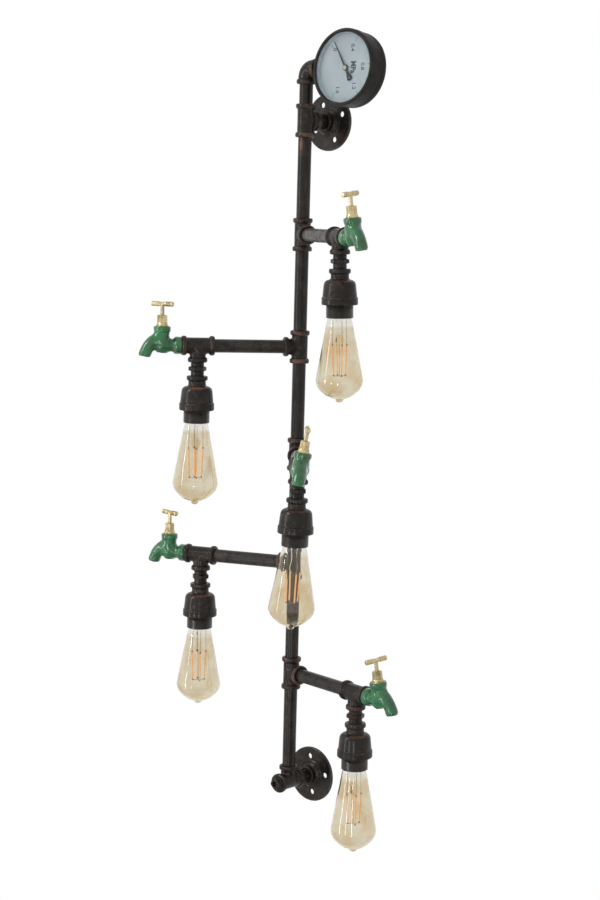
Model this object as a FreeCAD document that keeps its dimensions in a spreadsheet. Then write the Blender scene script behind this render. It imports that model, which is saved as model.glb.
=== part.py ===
import FreeCAD, Part
import math
import os
from types import SimpleNamespace

import Sketcher

# Wall lamp made of water pipe. The origin is the centre of the upper wall flange's back face.
# +Z is up, +Y points into the wall, +X runs along the wall. Lengths in mm, angles in degrees.
# An azimuth is counted round the column from +X towards the room.

SIZES = {
    # pipe and its made-up threads
    "pipe_od": 19.2,
    "pipe_wall": 2.35,
    "thread_depth": 10.0,
    "thread_fit": 0.08,
    "thread_gap": 0.5,
    # tees and elbow of the column and the arms
    "tee_reach": 23.5,
    "fitting_wall": 1.9,
    "rim_step": 2.5,
    "rim_width": 6.0,
    "rim_edge": 1.2,
    "elbow_leg": 3.5,
    "elbow_clearance": 1.0,
    "elbow_droop": 2.4,
    # layout of the column
    "wall_gap": 14.5,
    "column_gap_one": 113.6,
    "column_gap_two": 113.1,
    "column_gap_three": 108.1,
    "column_gap_four": 112.2,
    "column_gap_five": 115.7,
    "column_gap_six": 115.3,
    "top_gap": 27.5,
    # wall flanges
    "flange_od": 81.5,
    "flange_thickness": 4.0,
    "flange_edge": 1.0,
    "hub_height": 16.0,
    "hub_flare": 2.5,
    "hub_wall": 3.9,
    "bolt_circle": 54.0,
    "bolt_hole": 8.0,
    "bolt_count": 4,
    "upper_bolt_turn": 25.0,
    "lower_bolt_turn": 6.0,
    # plug in the lower wall tee
    "plug_square": 12.0,
    "plug_head": 9.0,
    "plug_recess_od": 7.0,
    "plug_recess_depth": 4.0,
    # arms: visible pipe, azimuth of each, and how far each end tee and tap is screwed past upright
    "arm_gap": 100.5,
    "azimuth_one": 29.0,
    "azimuth_two": 127.6,
    "azimuth_three": 48.0,
    "azimuth_four": 160.0,
    "azimuth_five": 10.8,
    "lamp_twist_one": 1.5,
    "lamp_twist_two": 0.0,
    "lamp_twist_three": -1.5,
    "lamp_twist_four": 0.0,
    "lamp_twist_five": 0.8,
    "tap_twist_one": 7.0,
    "tap_twist_two": 0.0,
    "tap_twist_three": -9.5,
    "tap_twist_four": 0.0,
    "tap_twist_five": 9.0,
    # hex nipple under the end tee
    "nipple_upper_gap": 6.0,
    "nipple_hex": 22.5,
    "nipple_hex_height": 6.5,
    "nipple_lower_gap": 7.0,
    # bell-shaped reducing socket
    "bell_band_step": 2.5,
    "bell_band_height": 6.5,
    "bell_neck_wall": 2.9,
    "bell_neck_height": 8.5,
    "bell_shoulder_wall": 3.3,
    "bell_shoulder_height": 7.5,
    "bell_skirt_wall": 4.75,
    "bell_skirt_height": 16.5,
    "bell_ring_wall": 6.0,
    "bell_ring_height": 10.0,
    "bell_head_gap": 2.5,
    "bell_fit": 0.15,
    # lampholder, E27
    "holder_wall": 1.6,
    "holder_top": 8.0,
    "holder_visible": 18.0,
    "mouth_fit": 1.25,
    "mouth_gap": 0.5,
    "cap_fit": 0.4,
    "contact_gap": 1.1,
    "skirt_thread_pitch": 1.75,
    "skirt_thread_depth": 0.5,
    "skirt_thread_turns": 10,
    # leads
    "lead_od": 5.0,
    "lead_bend": 10.0,
    "lead_gap": 1.5,
    "lead_fit": 0.1,
    # filament bulb, 64 mm pear shape
    "bulb_od": 64.4,
    "bulb_neck_od": 32.0,
    "root_fit": 0.4,
    "bulb_root_depth": 5.5,
    "bulb_widest": 85.0,
    "bulb_dome": 27.5,
    "bulb_pip_length": 4.3,
    "bulb_pip_od": 11.0,
    "bulb_wall": 0.9,
    "cap_od": 26.4,
    "cap_length": 24.0,
    "cap_thread_pitch": 3.6,
    "cap_thread_depth": 0.8,
    "cap_thread_turns": 4,
    "contact_od": 9.0,
    "contact_height": 2.4,
    "mount_od": 9.0,
    "mount_length": 40.0,
    "mount_disc": 1.0,
    "filament_count": 4,
    "filament_od": 1.8,
    "filament_length": 42.0,
    "filament_circle": 20.0,
    # bib tap
    "tap_collar_step": 3.3,
    "tap_collar_length": 9.5,
    "tap_neck_wall": 3.0,
    "tap_axis": 28.0,
    "tap_wall": 3.2,
    "tap_belly": 10.5,
    "tap_rim_step": 1.1,
    "tap_rim_height": 5.5,
    "tap_height": 27.0,
    "tap_cavity_od": 15.4,
    "tap_cavity_floor": 2.0,
    "tap_bore": 12.4,
    "spout_bend": 33.0,
    "spout_wall": 2.5,
    "spout_centre_in": 7.9,
    "spout_centre_down": 21.4,
    "spout_start": 80.0,
    "spout_end": 10.0,
    # brass headgear
    "headgear_hex": 15.0,
    "headgear_hex_height": 7.0,
    "headgear_thread": 12.0,
    "gland_hex": 11.6,
    "gland_height": 9.0,
    "headgear_fit": 0.05,
    # brass spindle and T-bar
    "spindle_od": 5.6,
    "spindle_fit": 0.05,
    "eye_wall": 0.8,
    "eye_cap": 0.9,
    "bar_height": 58.5,
    "bar_length": 33.5,
    "bar_od": 6.2,
    "knob_step": 0.5,
    "bar_knob_length": 12.2,
    "valve_fit": 1.2,
    "valve_height": 4.0,
    "valve_lift": 2.0,
    "handle_turn_one": 57.7,
    "handle_turn_two": 29.6,
    "handle_turn_three": 0.0,
    "handle_turn_four": 28.2,
    "handle_turn_five": 100.5,
    # pressure gauge
    "stem_gap": 0.5,
    "gauge_azimuth": 1.5,
    "gauge_tilt": 5.0,
    "gauge_depth": 35.0,
    "ring_wall": 1.1,
    "ring_depth": 12.0,
    "ring_lip": 2.0,
    "ring_edge": 1.0,
    "ring_cover": 4.0,
    "case_od": 105.0,
    "case_wall": 1.5,
    "case_edge": 3.0,
    "gauge_fit": 0.1,
    "glass_thickness": 2.4,
    "dial_drop": 5.0,
    "dial_thickness": 0.8,
    "dial_hole": 4.4,
    "stem_hex": 17.0,
    "stem_hex_length": 8.8,
    "stem_neck_od": 14.0,
    "stem_block_length": 16.0,
    "stem_block_width": 18.0,
    "stem_block_height": 12.0,
    "plate_thickness": 2.0,
    "plate_width": 20.0,
    "plate_overhang": 12.0,
    "post_od": 4.0,
    "post_height": 3.8,
    "tube_grip": 1.7,
    "tube_start": 190.0,
    "tube_od": 6.0,
    "tube_sweep": 250.0,
    "pointer_turn": -35.3,
    "pointer_gap": 4.3,
    "pointer_tail": 20.0,
    "pointer_width": 3.2,
    "pointer_tip_width": 0.8,
    "pointer_tail_width": 9.6,
    "pointer_thickness": 0.8,
    "pointer_lift": 1.6,
    "pointer_hub_od": 7.0,
    "pointer_hub_height": 3.0,
    "pointer_shaft_od": 3.0,
    "pointer_fit": 0.05,
}

ARM_NAMES = ["one", "two", "three", "four", "five"]
GAP_NAMES = ARM_NAMES + ["six"]
HEX_SIDES = 6
FULL_TURN = 360

# Shares of the bulb's height at which its neck's curve leaves the neck and reaches the belly
NECK_LEAVES = 0.3
BELLY_REACHED = 0.8
DOME_POINTS = 12
# Rounding under the tap's chamber, as shares of the chamber's radius and of the belly's depth
CHAMBER_ROUNDING = ((0.55, 0.94), (0.85, 0.62), (1.0, 0.1))


class Dim:
    """A size: the number that it has now and the sheet expression that gives it."""

    def __init__(self, number, text):
        self.number = number
        self.text = text

    def __add__(self, other):
        return Dim(self.number + number_of(other), f"({self.text} + {text_of(other)})")

    def __radd__(self, other):
        return Dim(number_of(other) + self.number, f"({text_of(other)} + {self.text})")

    def __sub__(self, other):
        return Dim(self.number - number_of(other), f"({self.text} - {text_of(other)})")

    def __rsub__(self, other):
        return Dim(number_of(other) - self.number, f"({text_of(other)} - {self.text})")

    def __mul__(self, other):
        return Dim(self.number * number_of(other), f"({self.text} * {text_of(other)})")

    def __rmul__(self, other):
        return Dim(number_of(other) * self.number, f"({text_of(other)} * {self.text})")

    def __truediv__(self, other):
        return Dim(self.number / number_of(other), f"({self.text} / {text_of(other)})")

    def __rtruediv__(self, other):
        return Dim(number_of(other) / self.number, f"({text_of(other)} / {self.text})")

    def __neg__(self):
        return Dim(-self.number, f"(0 - {self.text})")


def number_of(value):
    return value.number if isinstance(value, Dim) else value


def text_of(value):
    return value.text if isinstance(value, Dim) else repr(value)


class Frame:
    """A place in the lamp, as a chain of shifts and turns written for the sheet."""

    def __init__(self, steps=()):
        self.steps = tuple(steps)

    def shift(self, x=0, y=0, z=0):
        place = f"vector({text_of(x)}; {text_of(y)}; {text_of(z)})"
        return Frame(self.steps + (f"placement({place}; rotation(vector(0; 0; 1); 0))",))

    def turn(self, axis, angle):
        direction = {"x": "1; 0; 0", "y": "0; 1; 0", "z": "0; 0; 1"}[axis]
        turned = f"rotation(vector({direction}); {text_of(angle)})"
        return Frame(self.steps + (f"placement(vector(0; 0; 0); {turned})",))

    def apply(self, thing):
        if self.steps:
            thing.setExpression("Placement", " * ".join(self.steps))


doc = FreeCAD.newDocument("wall_lamp")
sheet = doc.addObject("Spreadsheet::Sheet", "sizes")
for row, (alias, value) in enumerate(SIZES.items(), start=1):
    sheet.set(f"A{row}", alias)
    sheet.set(f"B{row}", str(value))
    sheet.setAlias(f"B{row}", alias)
doc.recompute()
s = SimpleNamespace(**{alias: Dim(value, f"sizes.{alias}") for alias, value in SIZES.items()})


# Ways of making a shape

def outline(body, name, points):
    """Closed outline in the body's XZ plane, each corner held by two bound distances."""
    sketch = body.newObject("Sketcher::SketchObject", name)
    plane = [item for item in body.Origin.OriginFeatures if item.Role == "XZ_Plane"][0]
    sketch.AttachmentSupport = (plane, "")
    sketch.MapMode = "FlatFace"
    corners = [FreeCAD.Vector(number_of(x), number_of(z), 0) for x, z in points]
    count = len(corners)
    for index in range(count):
        sketch.addGeometry(Part.LineSegment(corners[index], corners[(index + 1) % count]))
    for index in range(count):
        sketch.addConstraint(Sketcher.Constraint("Coincident", index, 2, (index + 1) % count, 1))
    for index, (x, z) in enumerate(points):
        hold_corner(sketch, index, "DistanceX", x, -2)
        hold_corner(sketch, index, "DistanceY", z, -1)
    return sketch


def hold_corner(sketch, index, kind, value, zero_axis):
    """Keeps a corner at a bound distance from the origin, or on the axis where that is nought."""
    if not isinstance(value, Dim):
        sketch.addConstraint(Sketcher.Constraint("PointOnObject", index, 1, zero_axis))
        return
    held = sketch.addConstraint(Sketcher.Constraint(kind, -1, 1, index, 1, value.number))
    sketch.setExpression(f"Constraints[{held}]", value.text)


def spin(body, name, points, about, cut=False):
    """Revolves an outline about the body's upright axis (z) or its level one (x)."""
    kind = "PartDesign::Groove" if cut else "PartDesign::Revolution"
    profile = outline(body, name + "_outline", points)
    feature = body.newObject(kind, name)
    feature.Profile = profile
    feature.ReferenceAxis = (profile, ["V_Axis" if about == "z" else "H_Axis"])
    feature.Angle = FULL_TURN
    profile.Visibility = False
    body.Tip = feature
    return feature


def new_body(name):
    return doc.addObject("PartDesign::Body", name)


def primitive(kind, name, frame=Frame(), **values):
    """A Part primitive whose sizes are bound to the sheet."""
    thing = doc.addObject(f"Part::{kind}", name)
    for key, value in values.items():
        if isinstance(value, Dim):
            thing.setExpression(key, value.text)
        else:
            setattr(thing, key, value)
    frame.apply(thing)
    return thing


def hexagon(name, across_flats, height, frame=Frame()):
    """Hexagonal prism along z, from its distance across flats."""
    corner = across_flats / (2 * math.cos(math.pi / HEX_SIDES))
    return primitive("Prism", name, frame, Polygon=HEX_SIDES, Circumradius=corner, Height=height)


def fused(name, things):
    join = doc.addObject("Part::MultiFuse", name)
    join.Shapes = things
    return join


def cut(name, base, tool):
    result = doc.addObject("Part::Cut", name)
    result.Base = base
    result.Tool = tool
    return result


def copy_of(master, name, frame=Frame()):
    link = doc.addObject("App::Link", name)
    link.LinkedObject = master
    link.LinkTransform = True
    frame.apply(link)
    return link


nodes = []


def node(name, copies, frame=Frame()):
    """Named sub-part: one or more placed copies of made shapes, each a solid of its own."""
    group = doc.addObject("Part::Compound", name)
    group.Label = name
    group.Links = [copy_of(master, f"{name}_copy", place) for master, place in copies]
    frame.apply(group)
    nodes.append(group)


# Radii and reaches that several pieces share

pipe_r = s.pipe_od / 2
bore_r = pipe_r - s.pipe_wall
socket_r = pipe_r + s.thread_fit
socket_depth = s.thread_depth + s.thread_gap
fitting_r = pipe_r + s.fitting_wall
rim_r = fitting_r + s.rim_step
hub_r = pipe_r + s.hub_wall
lead_r = s.lead_od / 2
elbow_bend = fitting_r + s.elbow_clearance
elbow_reach = elbow_bend + s.elbow_leg + s.rim_width
standoff = s.tee_reach + s.wall_gap + s.hub_height
gauge_rise = s.tee_reach + s.top_gap + elbow_reach
arm_length = 2 * s.tee_reach + s.arm_gap
arm_count = len(ARM_NAMES)
column_gaps = [getattr(s, f"column_gap_{name}") for name in GAP_NAMES]


def tee_drop(count):
    """How far below the top tee's centre the centre of a lower tee is."""
    drop = 2 * count * s.tee_reach
    for gap in column_gaps[:count]:
        drop = drop + gap
    return drop


def tee():
    """Beaded pipe tee: the run along z and the branch along +x."""
    reach = s.tee_reach
    rim_in = reach - s.rim_width
    body = new_body("tee")
    spin(body, "tee_run", [
        (0, -reach), (rim_r - s.rim_edge, -reach), (rim_r, s.rim_edge - reach),
        (rim_r, -(rim_in + s.rim_edge)), (fitting_r, s.rim_edge - rim_in),
        (fitting_r, rim_in - s.rim_edge), (rim_r, rim_in + s.rim_edge),
        (rim_r, reach - s.rim_edge), (rim_r - s.rim_edge, reach), (0, reach)], "z")
    spin(body, "tee_branch", leg_outline(reach), "x")
    spin(body, "tee_run_bore", [
        (0, -reach), (socket_r, -reach), (socket_r, socket_depth - reach),
        (bore_r, socket_depth - reach), (bore_r, reach - socket_depth),
        (socket_r, reach - socket_depth), (socket_r, reach), (0, reach)], "z", cut=True)
    spin(body, "tee_branch_bore", leg_bore(reach), "x", cut=True)
    return body


def leg_outline(reach):
    """Half outline, over the level axis, of one beaded leg from the centre to its face."""
    rim_in = reach - s.rim_width
    return [
        (0, 0), (0, fitting_r), (rim_in - s.rim_edge, fitting_r), (rim_in + s.rim_edge, rim_r),
        (reach - s.rim_edge, rim_r), (reach, rim_r - s.rim_edge), (reach, 0)]


def leg_bore(reach):
    """Half outline of the threaded socket and waterway in one leg."""
    return [
        (0, 0), (0, bore_r), (reach - socket_depth, bore_r), (reach - socket_depth, socket_r),
        (reach, socket_r), (reach, 0)]


def pipe(name, length):
    """Straight pipe along z, centred on the origin."""
    body = new_body(name)
    spin(body, name + "_wall", [
        (bore_r, -length / 2), (pipe_r, -length / 2), (pipe_r, length / 2), (bore_r, length / 2)], "z")
    return body


def elbow():
    """Beaded elbow with legs down (-z) and nearly level (+x) and a round bend between them."""
    bend = elbow_bend
    leg = new_body("elbow_leg")
    rim_in = elbow_reach - s.rim_width
    spin(leg, "elbow_leg_form", [
        (bend, 0), (bend, fitting_r)] + leg_outline(elbow_reach)[2:], "x")
    leg_cut = new_body("elbow_leg_cut")
    socket_in = elbow_reach - socket_depth
    spin(leg_cut, "elbow_leg_bore", [
        (socket_in, 0), (socket_in, socket_r), (elbow_reach, socket_r), (elbow_reach, 0)], "x")
    corner = Frame().shift(bend, 0, -bend).turn("x", 90).turn("z", 90)
    down = Frame().turn("y", 90)
    level = Frame().turn("y", s.elbow_droop)
    solid = fused("elbow_solid", [
        primitive("Torus", "elbow_bend", corner, Radius1=bend, Radius2=fitting_r, Angle3=90),
        copy_of(leg, "elbow_leg_level", level), copy_of(leg, "elbow_leg_down", down)])
    waterway = fused("elbow_waterway", [
        primitive("Torus", "elbow_bend_bore", corner, Radius1=bend, Radius2=bore_r, Angle3=90),
        primitive("Cylinder", "elbow_level_bore", level.shift(x=bend).turn("y", 90),
                  Radius=bore_r, Height=elbow_reach - bend),
        primitive("Cylinder", "elbow_down_bore", Frame().shift(z=-elbow_reach),
                  Radius=bore_r, Height=elbow_reach - bend),
        copy_of(leg_cut, "elbow_socket_level", level),
        copy_of(leg_cut, "elbow_socket_down", down)])
    return cut("elbow", solid, waterway)


def flange():
    """Round wall flange: back face at z = 0, threaded hub towards +z, holes on a circle."""
    flange_r = s.flange_od / 2
    body = new_body("flange")
    spin(body, "flange_form", [
        (bore_r, 0), (flange_r, 0), (flange_r, s.flange_thickness - s.flange_edge),
        (flange_r - s.flange_edge, s.flange_thickness), (hub_r + s.hub_flare, s.flange_thickness),
        (hub_r, s.hub_height - s.rim_edge), (hub_r - s.rim_edge, s.hub_height),
        (socket_r, s.hub_height), (socket_r, s.hub_height - socket_depth),
        (bore_r, s.hub_height - socket_depth)], "z")
    sketch = body.newObject("Sketcher::SketchObject", "bolt_hole_sketch")
    plane = [item for item in body.Origin.OriginFeatures if item.Role == "XY_Plane"][0]
    sketch.AttachmentSupport = (plane, "")
    sketch.MapMode = "FlatFace"
    centre = FreeCAD.Vector(s.bolt_circle.number / 2, 0, 0)
    hole = Part.Circle(centre, FreeCAD.Vector(0, 0, 1), s.bolt_hole.number / 2)
    sketch.addGeometry(hole)
    sketch.addConstraint(Sketcher.Constraint("PointOnObject", 0, 3, -1))
    distance = sketch.addConstraint(
        Sketcher.Constraint("DistanceX", -1, 1, 0, 3, s.bolt_circle.number / 2))
    sketch.setExpression(f"Constraints[{distance}]", (s.bolt_circle / 2).text)
    width = sketch.addConstraint(Sketcher.Constraint("Diameter", 0, s.bolt_hole.number))
    sketch.setExpression(f"Constraints[{width}]", s.bolt_hole.text)
    pocket = body.newObject("PartDesign::Pocket", "bolt_hole_cut")
    pocket.Profile = sketch
    pocket.Type = "ThroughAll"
    pocket.Midplane = True
    doc.recompute()
    pattern = body.newObject("PartDesign::PolarPattern", "bolt_holes")
    pattern.Originals = [pocket]
    pattern.Axis = (sketch, ["N_Axis"])
    pattern.Angle = FULL_TURN
    pattern.setExpression("Occurrences", s.bolt_count.text)
    body.Tip = pattern
    sketch.Visibility = False
    return body


def plug():
    """Square-headed plug: thread towards -z, head towards +z, with a cored recess."""
    thread = primitive("Cylinder", "plug_thread", Frame().shift(z=-s.thread_depth),
                       Radius=pipe_r, Height=s.thread_depth)
    half = s.plug_square / 2
    head = primitive("Box", "plug_square_head", Frame().shift(-half, -half, 0),
                     Length=s.plug_square, Width=s.plug_square, Height=s.plug_head)
    recess = primitive("Cylinder", "plug_recess",
                       Frame().shift(z=s.plug_head - s.plug_recess_depth),
                       Radius=s.plug_recess_od / 2, Height=s.plug_recess_depth)
    return cut("plug", fused("plug_solid", [thread, head]), recess)


# Lamp: everything that hangs under an end tee. Each piece's own origin is named with it.

bell_top = s.tee_reach + s.nipple_upper_gap + s.nipple_hex_height + s.nipple_lower_gap
bell_height = (s.bell_band_height + s.bell_neck_height + s.bell_shoulder_height
               + s.bell_skirt_height + s.bell_ring_height)
mouth_drop = bell_top + bell_height + s.holder_visible
mouth_r = s.bulb_neck_od / 2 + s.mouth_fit
holder_r = mouth_r + s.holder_wall
holder_bore_depth = s.bulb_root_depth + s.cap_length + s.contact_height + s.contact_gap
holder_length = holder_bore_depth + s.holder_top


def hex_nipple():
    """Nipple from the end tee's branch to the bell, with a hexagon; origin at the tee's centre."""
    top = s.tee_reach - s.thread_depth
    length = bell_top + s.thread_depth - top
    low_end = Frame().shift(z=-(top + length))
    solid = fused("hex_nipple_solid", [
        primitive("Cylinder", "hex_nipple_barrel", low_end, Radius=pipe_r, Height=length),
        hexagon("hex_nipple_hexagon", s.nipple_hex, s.nipple_hex_height,
                Frame().shift(z=-(s.tee_reach + s.nipple_upper_gap + s.nipple_hex_height)))])
    bore = primitive("Cylinder", "hex_nipple_bore", low_end, Radius=bore_r, Height=length)
    return cut("hex_nipple", solid, bore)


def bell():
    """Reducing socket, open at the bottom; origin at its top face, body towards -z."""
    band_z = -s.bell_band_height
    neck_z = band_z - s.bell_neck_height
    shoulder_z = neck_z - s.bell_shoulder_height
    ring_z = shoulder_z - s.bell_skirt_height
    mouth_z = ring_z - s.bell_ring_height
    edge = s.rim_edge
    neck_r = pipe_r + s.bell_neck_wall
    band_r = neck_r + s.bell_band_step
    bore = holder_r + s.bell_fit
    shoulder_r = bore + s.bell_shoulder_wall
    ring_r = bore + s.bell_ring_wall
    bore_top = mouth_z + holder_length - s.holder_visible + s.bell_head_gap
    throat_z = neck_z - edge
    body = new_body("bell")
    spin(body, "bell_form", [
        (socket_r, 0), (band_r - edge, 0), (band_r, -edge), (band_r, band_z + edge),
        (neck_r, band_z - edge / 2), (neck_r, neck_z), (shoulder_r - 3 * edge, neck_z - edge),
        (shoulder_r - edge, neck_z - 3 * edge), (shoulder_r, shoulder_z),
        (bore + s.bell_skirt_wall, ring_z), (ring_r, ring_z - edge), (ring_r, mouth_z + edge),
        (ring_r - edge, mouth_z), (bore, mouth_z), (bore, bore_top),
        (bore_r, throat_z), (bore_r, -socket_depth), (socket_r, -socket_depth)], "z")
    return body


def lampholder():
    """Lampholder with a threaded skirt; origin at the centre of its mouth, body towards +z."""
    pitch = s.skirt_thread_pitch
    bore = s.cap_od / 2 + s.cap_fit
    mouth_depth = s.bulb_root_depth + s.mouth_gap
    root = holder_r - s.skirt_thread_depth
    ridges = []
    for turn in range(1, int(SIZES["skirt_thread_turns"]) + 1):
        ridges += [(root, turn * pitch), (holder_r, (turn + 0.5) * pitch)]
    body = new_body("lampholder_shell")
    spin(body, "lampholder_form", [
        (mouth_r, 0), (holder_r - 2 * s.skirt_thread_depth, 0), (holder_r, pitch / 2)] + ridges + [
        (holder_r, holder_length), (lead_r + s.lead_fit, holder_length),
        (lead_r + s.lead_fit, holder_bore_depth), (bore, holder_bore_depth),
        (bore, mouth_depth), (mouth_r, mouth_depth)], "z")
    return body


def arm_lead():
    """Lead from the bulb's contact up and along the arm; origin at the end tee's centre."""
    bend = s.lead_bend
    bottom = mouth_drop - s.cap_length - s.bulb_root_depth - s.contact_height
    inner_end = arm_length - lead_r - s.lead_gap
    return fused("arm_lead", [
        primitive("Cylinder", "arm_lead_upright", Frame().shift(z=-bottom),
                  Radius=lead_r, Height=bottom - bend),
        primitive("Torus", "arm_lead_corner", Frame().shift(-bend, 0, -bend).turn("x", 90),
                  Radius1=bend, Radius2=lead_r, Angle3=90),
        primitive("Cylinder", "arm_lead_level", Frame().shift(x=-inner_end).turn("y", 90),
                  Radius=lead_r, Height=inner_end - bend)])


def bulb_envelope(inset):
    """Solid of the bulb's outline, drawn in by an inset: a swelling neck over a half ellipse.

    The neck is one cubic curve from the root to the widest circle, the dome is a quarter
    ellipse, and the pip is a small cone with a flat end. Origin at the lampholder's mouth.
    """
    root_r = (s.cap_od / 2 - s.root_fit).number - inset
    neck_r = s.bulb_neck_od.number / 2 - inset
    wide_r = s.bulb_od.number / 2 - inset
    widest = -s.bulb_widest.number
    dome = s.bulb_dome.number - inset
    pip_r = s.bulb_pip_od.number / 2 - inset
    pip_end = widest - dome - s.bulb_pip_length.number
    root_z = s.bulb_root_depth.number
    swell = (wide_r - neck_r) / 4
    neck = Part.BezierCurve()
    neck.setPoles([
        FreeCAD.Vector(neck_r, 0, 0), FreeCAD.Vector(neck_r + swell, 0, NECK_LEAVES * widest),
        FreeCAD.Vector(wide_r, 0, BELLY_REACHED * widest), FreeCAD.Vector(wide_r, 0, widest)])
    pip_angle = math.acos(pip_r / wide_r)
    pip_z = widest - dome * math.sin(pip_angle)
    dome_points = []
    for step in range(1, DOME_POINTS + 1):
        angle = pip_angle * step / DOME_POINTS
        dome_points.append(FreeCAD.Vector(wide_r * math.cos(angle), 0, widest - dome * math.sin(angle)))
    dome_curve = Part.BSplineCurve()
    dome_curve.interpolate([FreeCAD.Vector(wide_r, 0, widest)] + dome_points)
    corners = [
        FreeCAD.Vector(pip_r, 0, pip_z), FreeCAD.Vector(pip_r / 2, 0, pip_end),
        FreeCAD.Vector(0, 0, pip_end), FreeCAD.Vector(0, 0, root_z),
        FreeCAD.Vector(root_r, 0, root_z), FreeCAD.Vector(neck_r, 0, 0)]
    edges = [neck.toShape(), dome_curve.toShape()]
    for start, end in zip(corners, corners[1:]):
        edges.append(Part.LineSegment(start, end).toShape())
    face = Part.Face(Part.Wire(edges))
    return face.revolve(FreeCAD.Vector(0, 0, 0), FreeCAD.Vector(0, 0, 1), FULL_TURN)


def bulb_glass():
    """Hollow glass of the bulb, open at the root where the cap holds it."""
    outer = bulb_envelope(0)
    inner = bulb_envelope(s.bulb_wall.number)
    thing = doc.addObject("Part::Feature", "bulb_glass")
    thing.Shape = outer.cut(inner)
    return thing


def bulb_cap():
    """Screw cap of the bulb with rounded threads and its contact; origin at the mouth."""
    low = s.bulb_root_depth
    top = low + s.cap_length
    radius = s.cap_od / 2
    root = radius - s.cap_thread_depth
    pitch = s.cap_thread_pitch
    start = low + s.cap_length - (SIZES["cap_thread_turns"] + 1) * pitch
    waves = []
    for turn in range(int(SIZES["cap_thread_turns"])):
        waves += [(root, start + turn * pitch), (radius, start + (turn + 0.5) * pitch)]
    body = new_body("bulb_cap")
    spin(body, "bulb_cap_form", [(0, low), (radius, low)] + waves + [
        (root, top - pitch / 2), (s.contact_od / 2, top),
        (s.contact_od / 2, top + s.contact_height), (0, top + s.contact_height)], "z")
    return body


def glass_mount():
    """Glass mount under the cap, with the disc at its lower end that the filaments hang from."""
    low_end = Frame().shift(z=s.bulb_root_depth - s.mount_length)
    return fused("glass_mount", [
        primitive("Cylinder", "glass_mount_rod", low_end,
                  Radius=s.mount_od / 2, Height=s.mount_length),
        primitive("Cylinder", "glass_mount_disc", low_end,
                  Radius=(s.filament_circle + s.filament_od) / 2, Height=s.mount_disc)])


def filament():
    """One straight filament, hung from the mount's disc."""
    return primitive("Cylinder", "filament",
                     Frame().shift(x=s.filament_circle / 2,
                                   z=s.bulb_root_depth - s.mount_length - s.filament_length),
                     Radius=s.filament_od / 2, Height=s.filament_length)


# Bib tap. Its origin is on the arm's axis at the end tee's outer face, +x away from the tee.

def tap_body():
    """Green casting: threaded tail, collar, chamber and bent spout, with its waterways."""
    bore_r = s.tap_bore / 2
    chamber_r = s.tap_cavity_od / 2 + s.tap_wall
    tap_rim_r = chamber_r + s.tap_rim_step
    neck_r = bore_r + s.tap_neck_wall
    collar_r = neck_r + s.tap_collar_step
    rim_z = s.tap_height - s.tap_rim_height
    edge = s.rim_edge
    inlet = new_body("tap_inlet")
    spin(inlet, "tap_inlet_form", [
        (-s.thread_depth, 0), (-s.thread_depth, pipe_r), (s.thread_fit, pipe_r),
        (s.thread_fit, collar_r - edge), (edge, collar_r),
        (s.tap_collar_length - edge, collar_r), (s.tap_collar_length + 2 * edge, neck_r),
        (s.tap_axis, neck_r), (s.tap_axis, 0)], "x")
    chamber = new_body("tap_chamber")
    rounding = [(chamber_r * across, -s.tap_belly * down) for across, down in CHAMBER_ROUNDING]
    spin(chamber, "tap_chamber_form", [(0, -s.tap_belly)] + rounding + [
        (chamber_r, rim_z - 2 * edge), (tap_rim_r, rim_z),
        (tap_rim_r, s.tap_height - edge), (tap_rim_r - edge, s.tap_height),
        (0, s.tap_height)], "z")
    axis = Frame().shift(x=s.tap_axis)
    spout_frame = Frame().shift(s.tap_axis - s.spout_centre_in, 0, -s.spout_centre_down)
    spout_frame = spout_frame.turn("x", 90).turn("z", s.spout_end)
    sweep = s.spout_start - s.spout_end
    solid = fused("tap_solid", [
        inlet, copy_of(chamber, "tap_chamber_copy", axis),
        primitive("Torus", "tap_spout", spout_frame, Radius1=s.spout_bend,
                  Radius2=bore_r + s.spout_wall, Angle3=sweep)])
    passage = fused("tap_passage", [
        primitive("Cylinder", "tap_cavity", axis.shift(z=s.tap_cavity_floor),
                  Radius=s.tap_cavity_od / 2, Height=s.tap_height - s.tap_cavity_floor),
        primitive("Cylinder", "tap_inlet_bore", Frame().shift(x=-s.thread_depth).turn("y", 90),
                  Radius=bore_r, Height=s.thread_depth + s.tap_axis),
        primitive("Torus", "tap_spout_bore", spout_frame, Radius1=s.spout_bend,
                  Radius2=bore_r, Angle3=sweep)])
    return cut("tap_casting", solid, passage)


def headgear():
    """Brass headgear and gland nut, bored for the spindle; origin on the tap's own axis."""
    base = s.tap_height
    thread_r = s.tap_cavity_od / 2 - s.headgear_fit
    bore = s.spindle_od / 2 + s.spindle_fit
    solid = fused("headgear_solid", [
        primitive("Cylinder", "headgear_thread", Frame().shift(z=base - s.headgear_thread),
                  Radius=thread_r, Height=s.headgear_thread),
        hexagon("headgear_hexagon", s.headgear_hex, s.headgear_hex_height, Frame().shift(z=base)),
        hexagon("gland_nut", s.gland_hex, s.gland_height,
                Frame().shift(z=base + s.headgear_hex_height))])
    tool = primitive("Cylinder", "headgear_bore", Frame().shift(z=base - s.headgear_thread),
                     Radius=bore, Height=s.headgear_thread + s.headgear_hex_height + s.gland_height)
    return cut("headgear", solid, tool)


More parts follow.
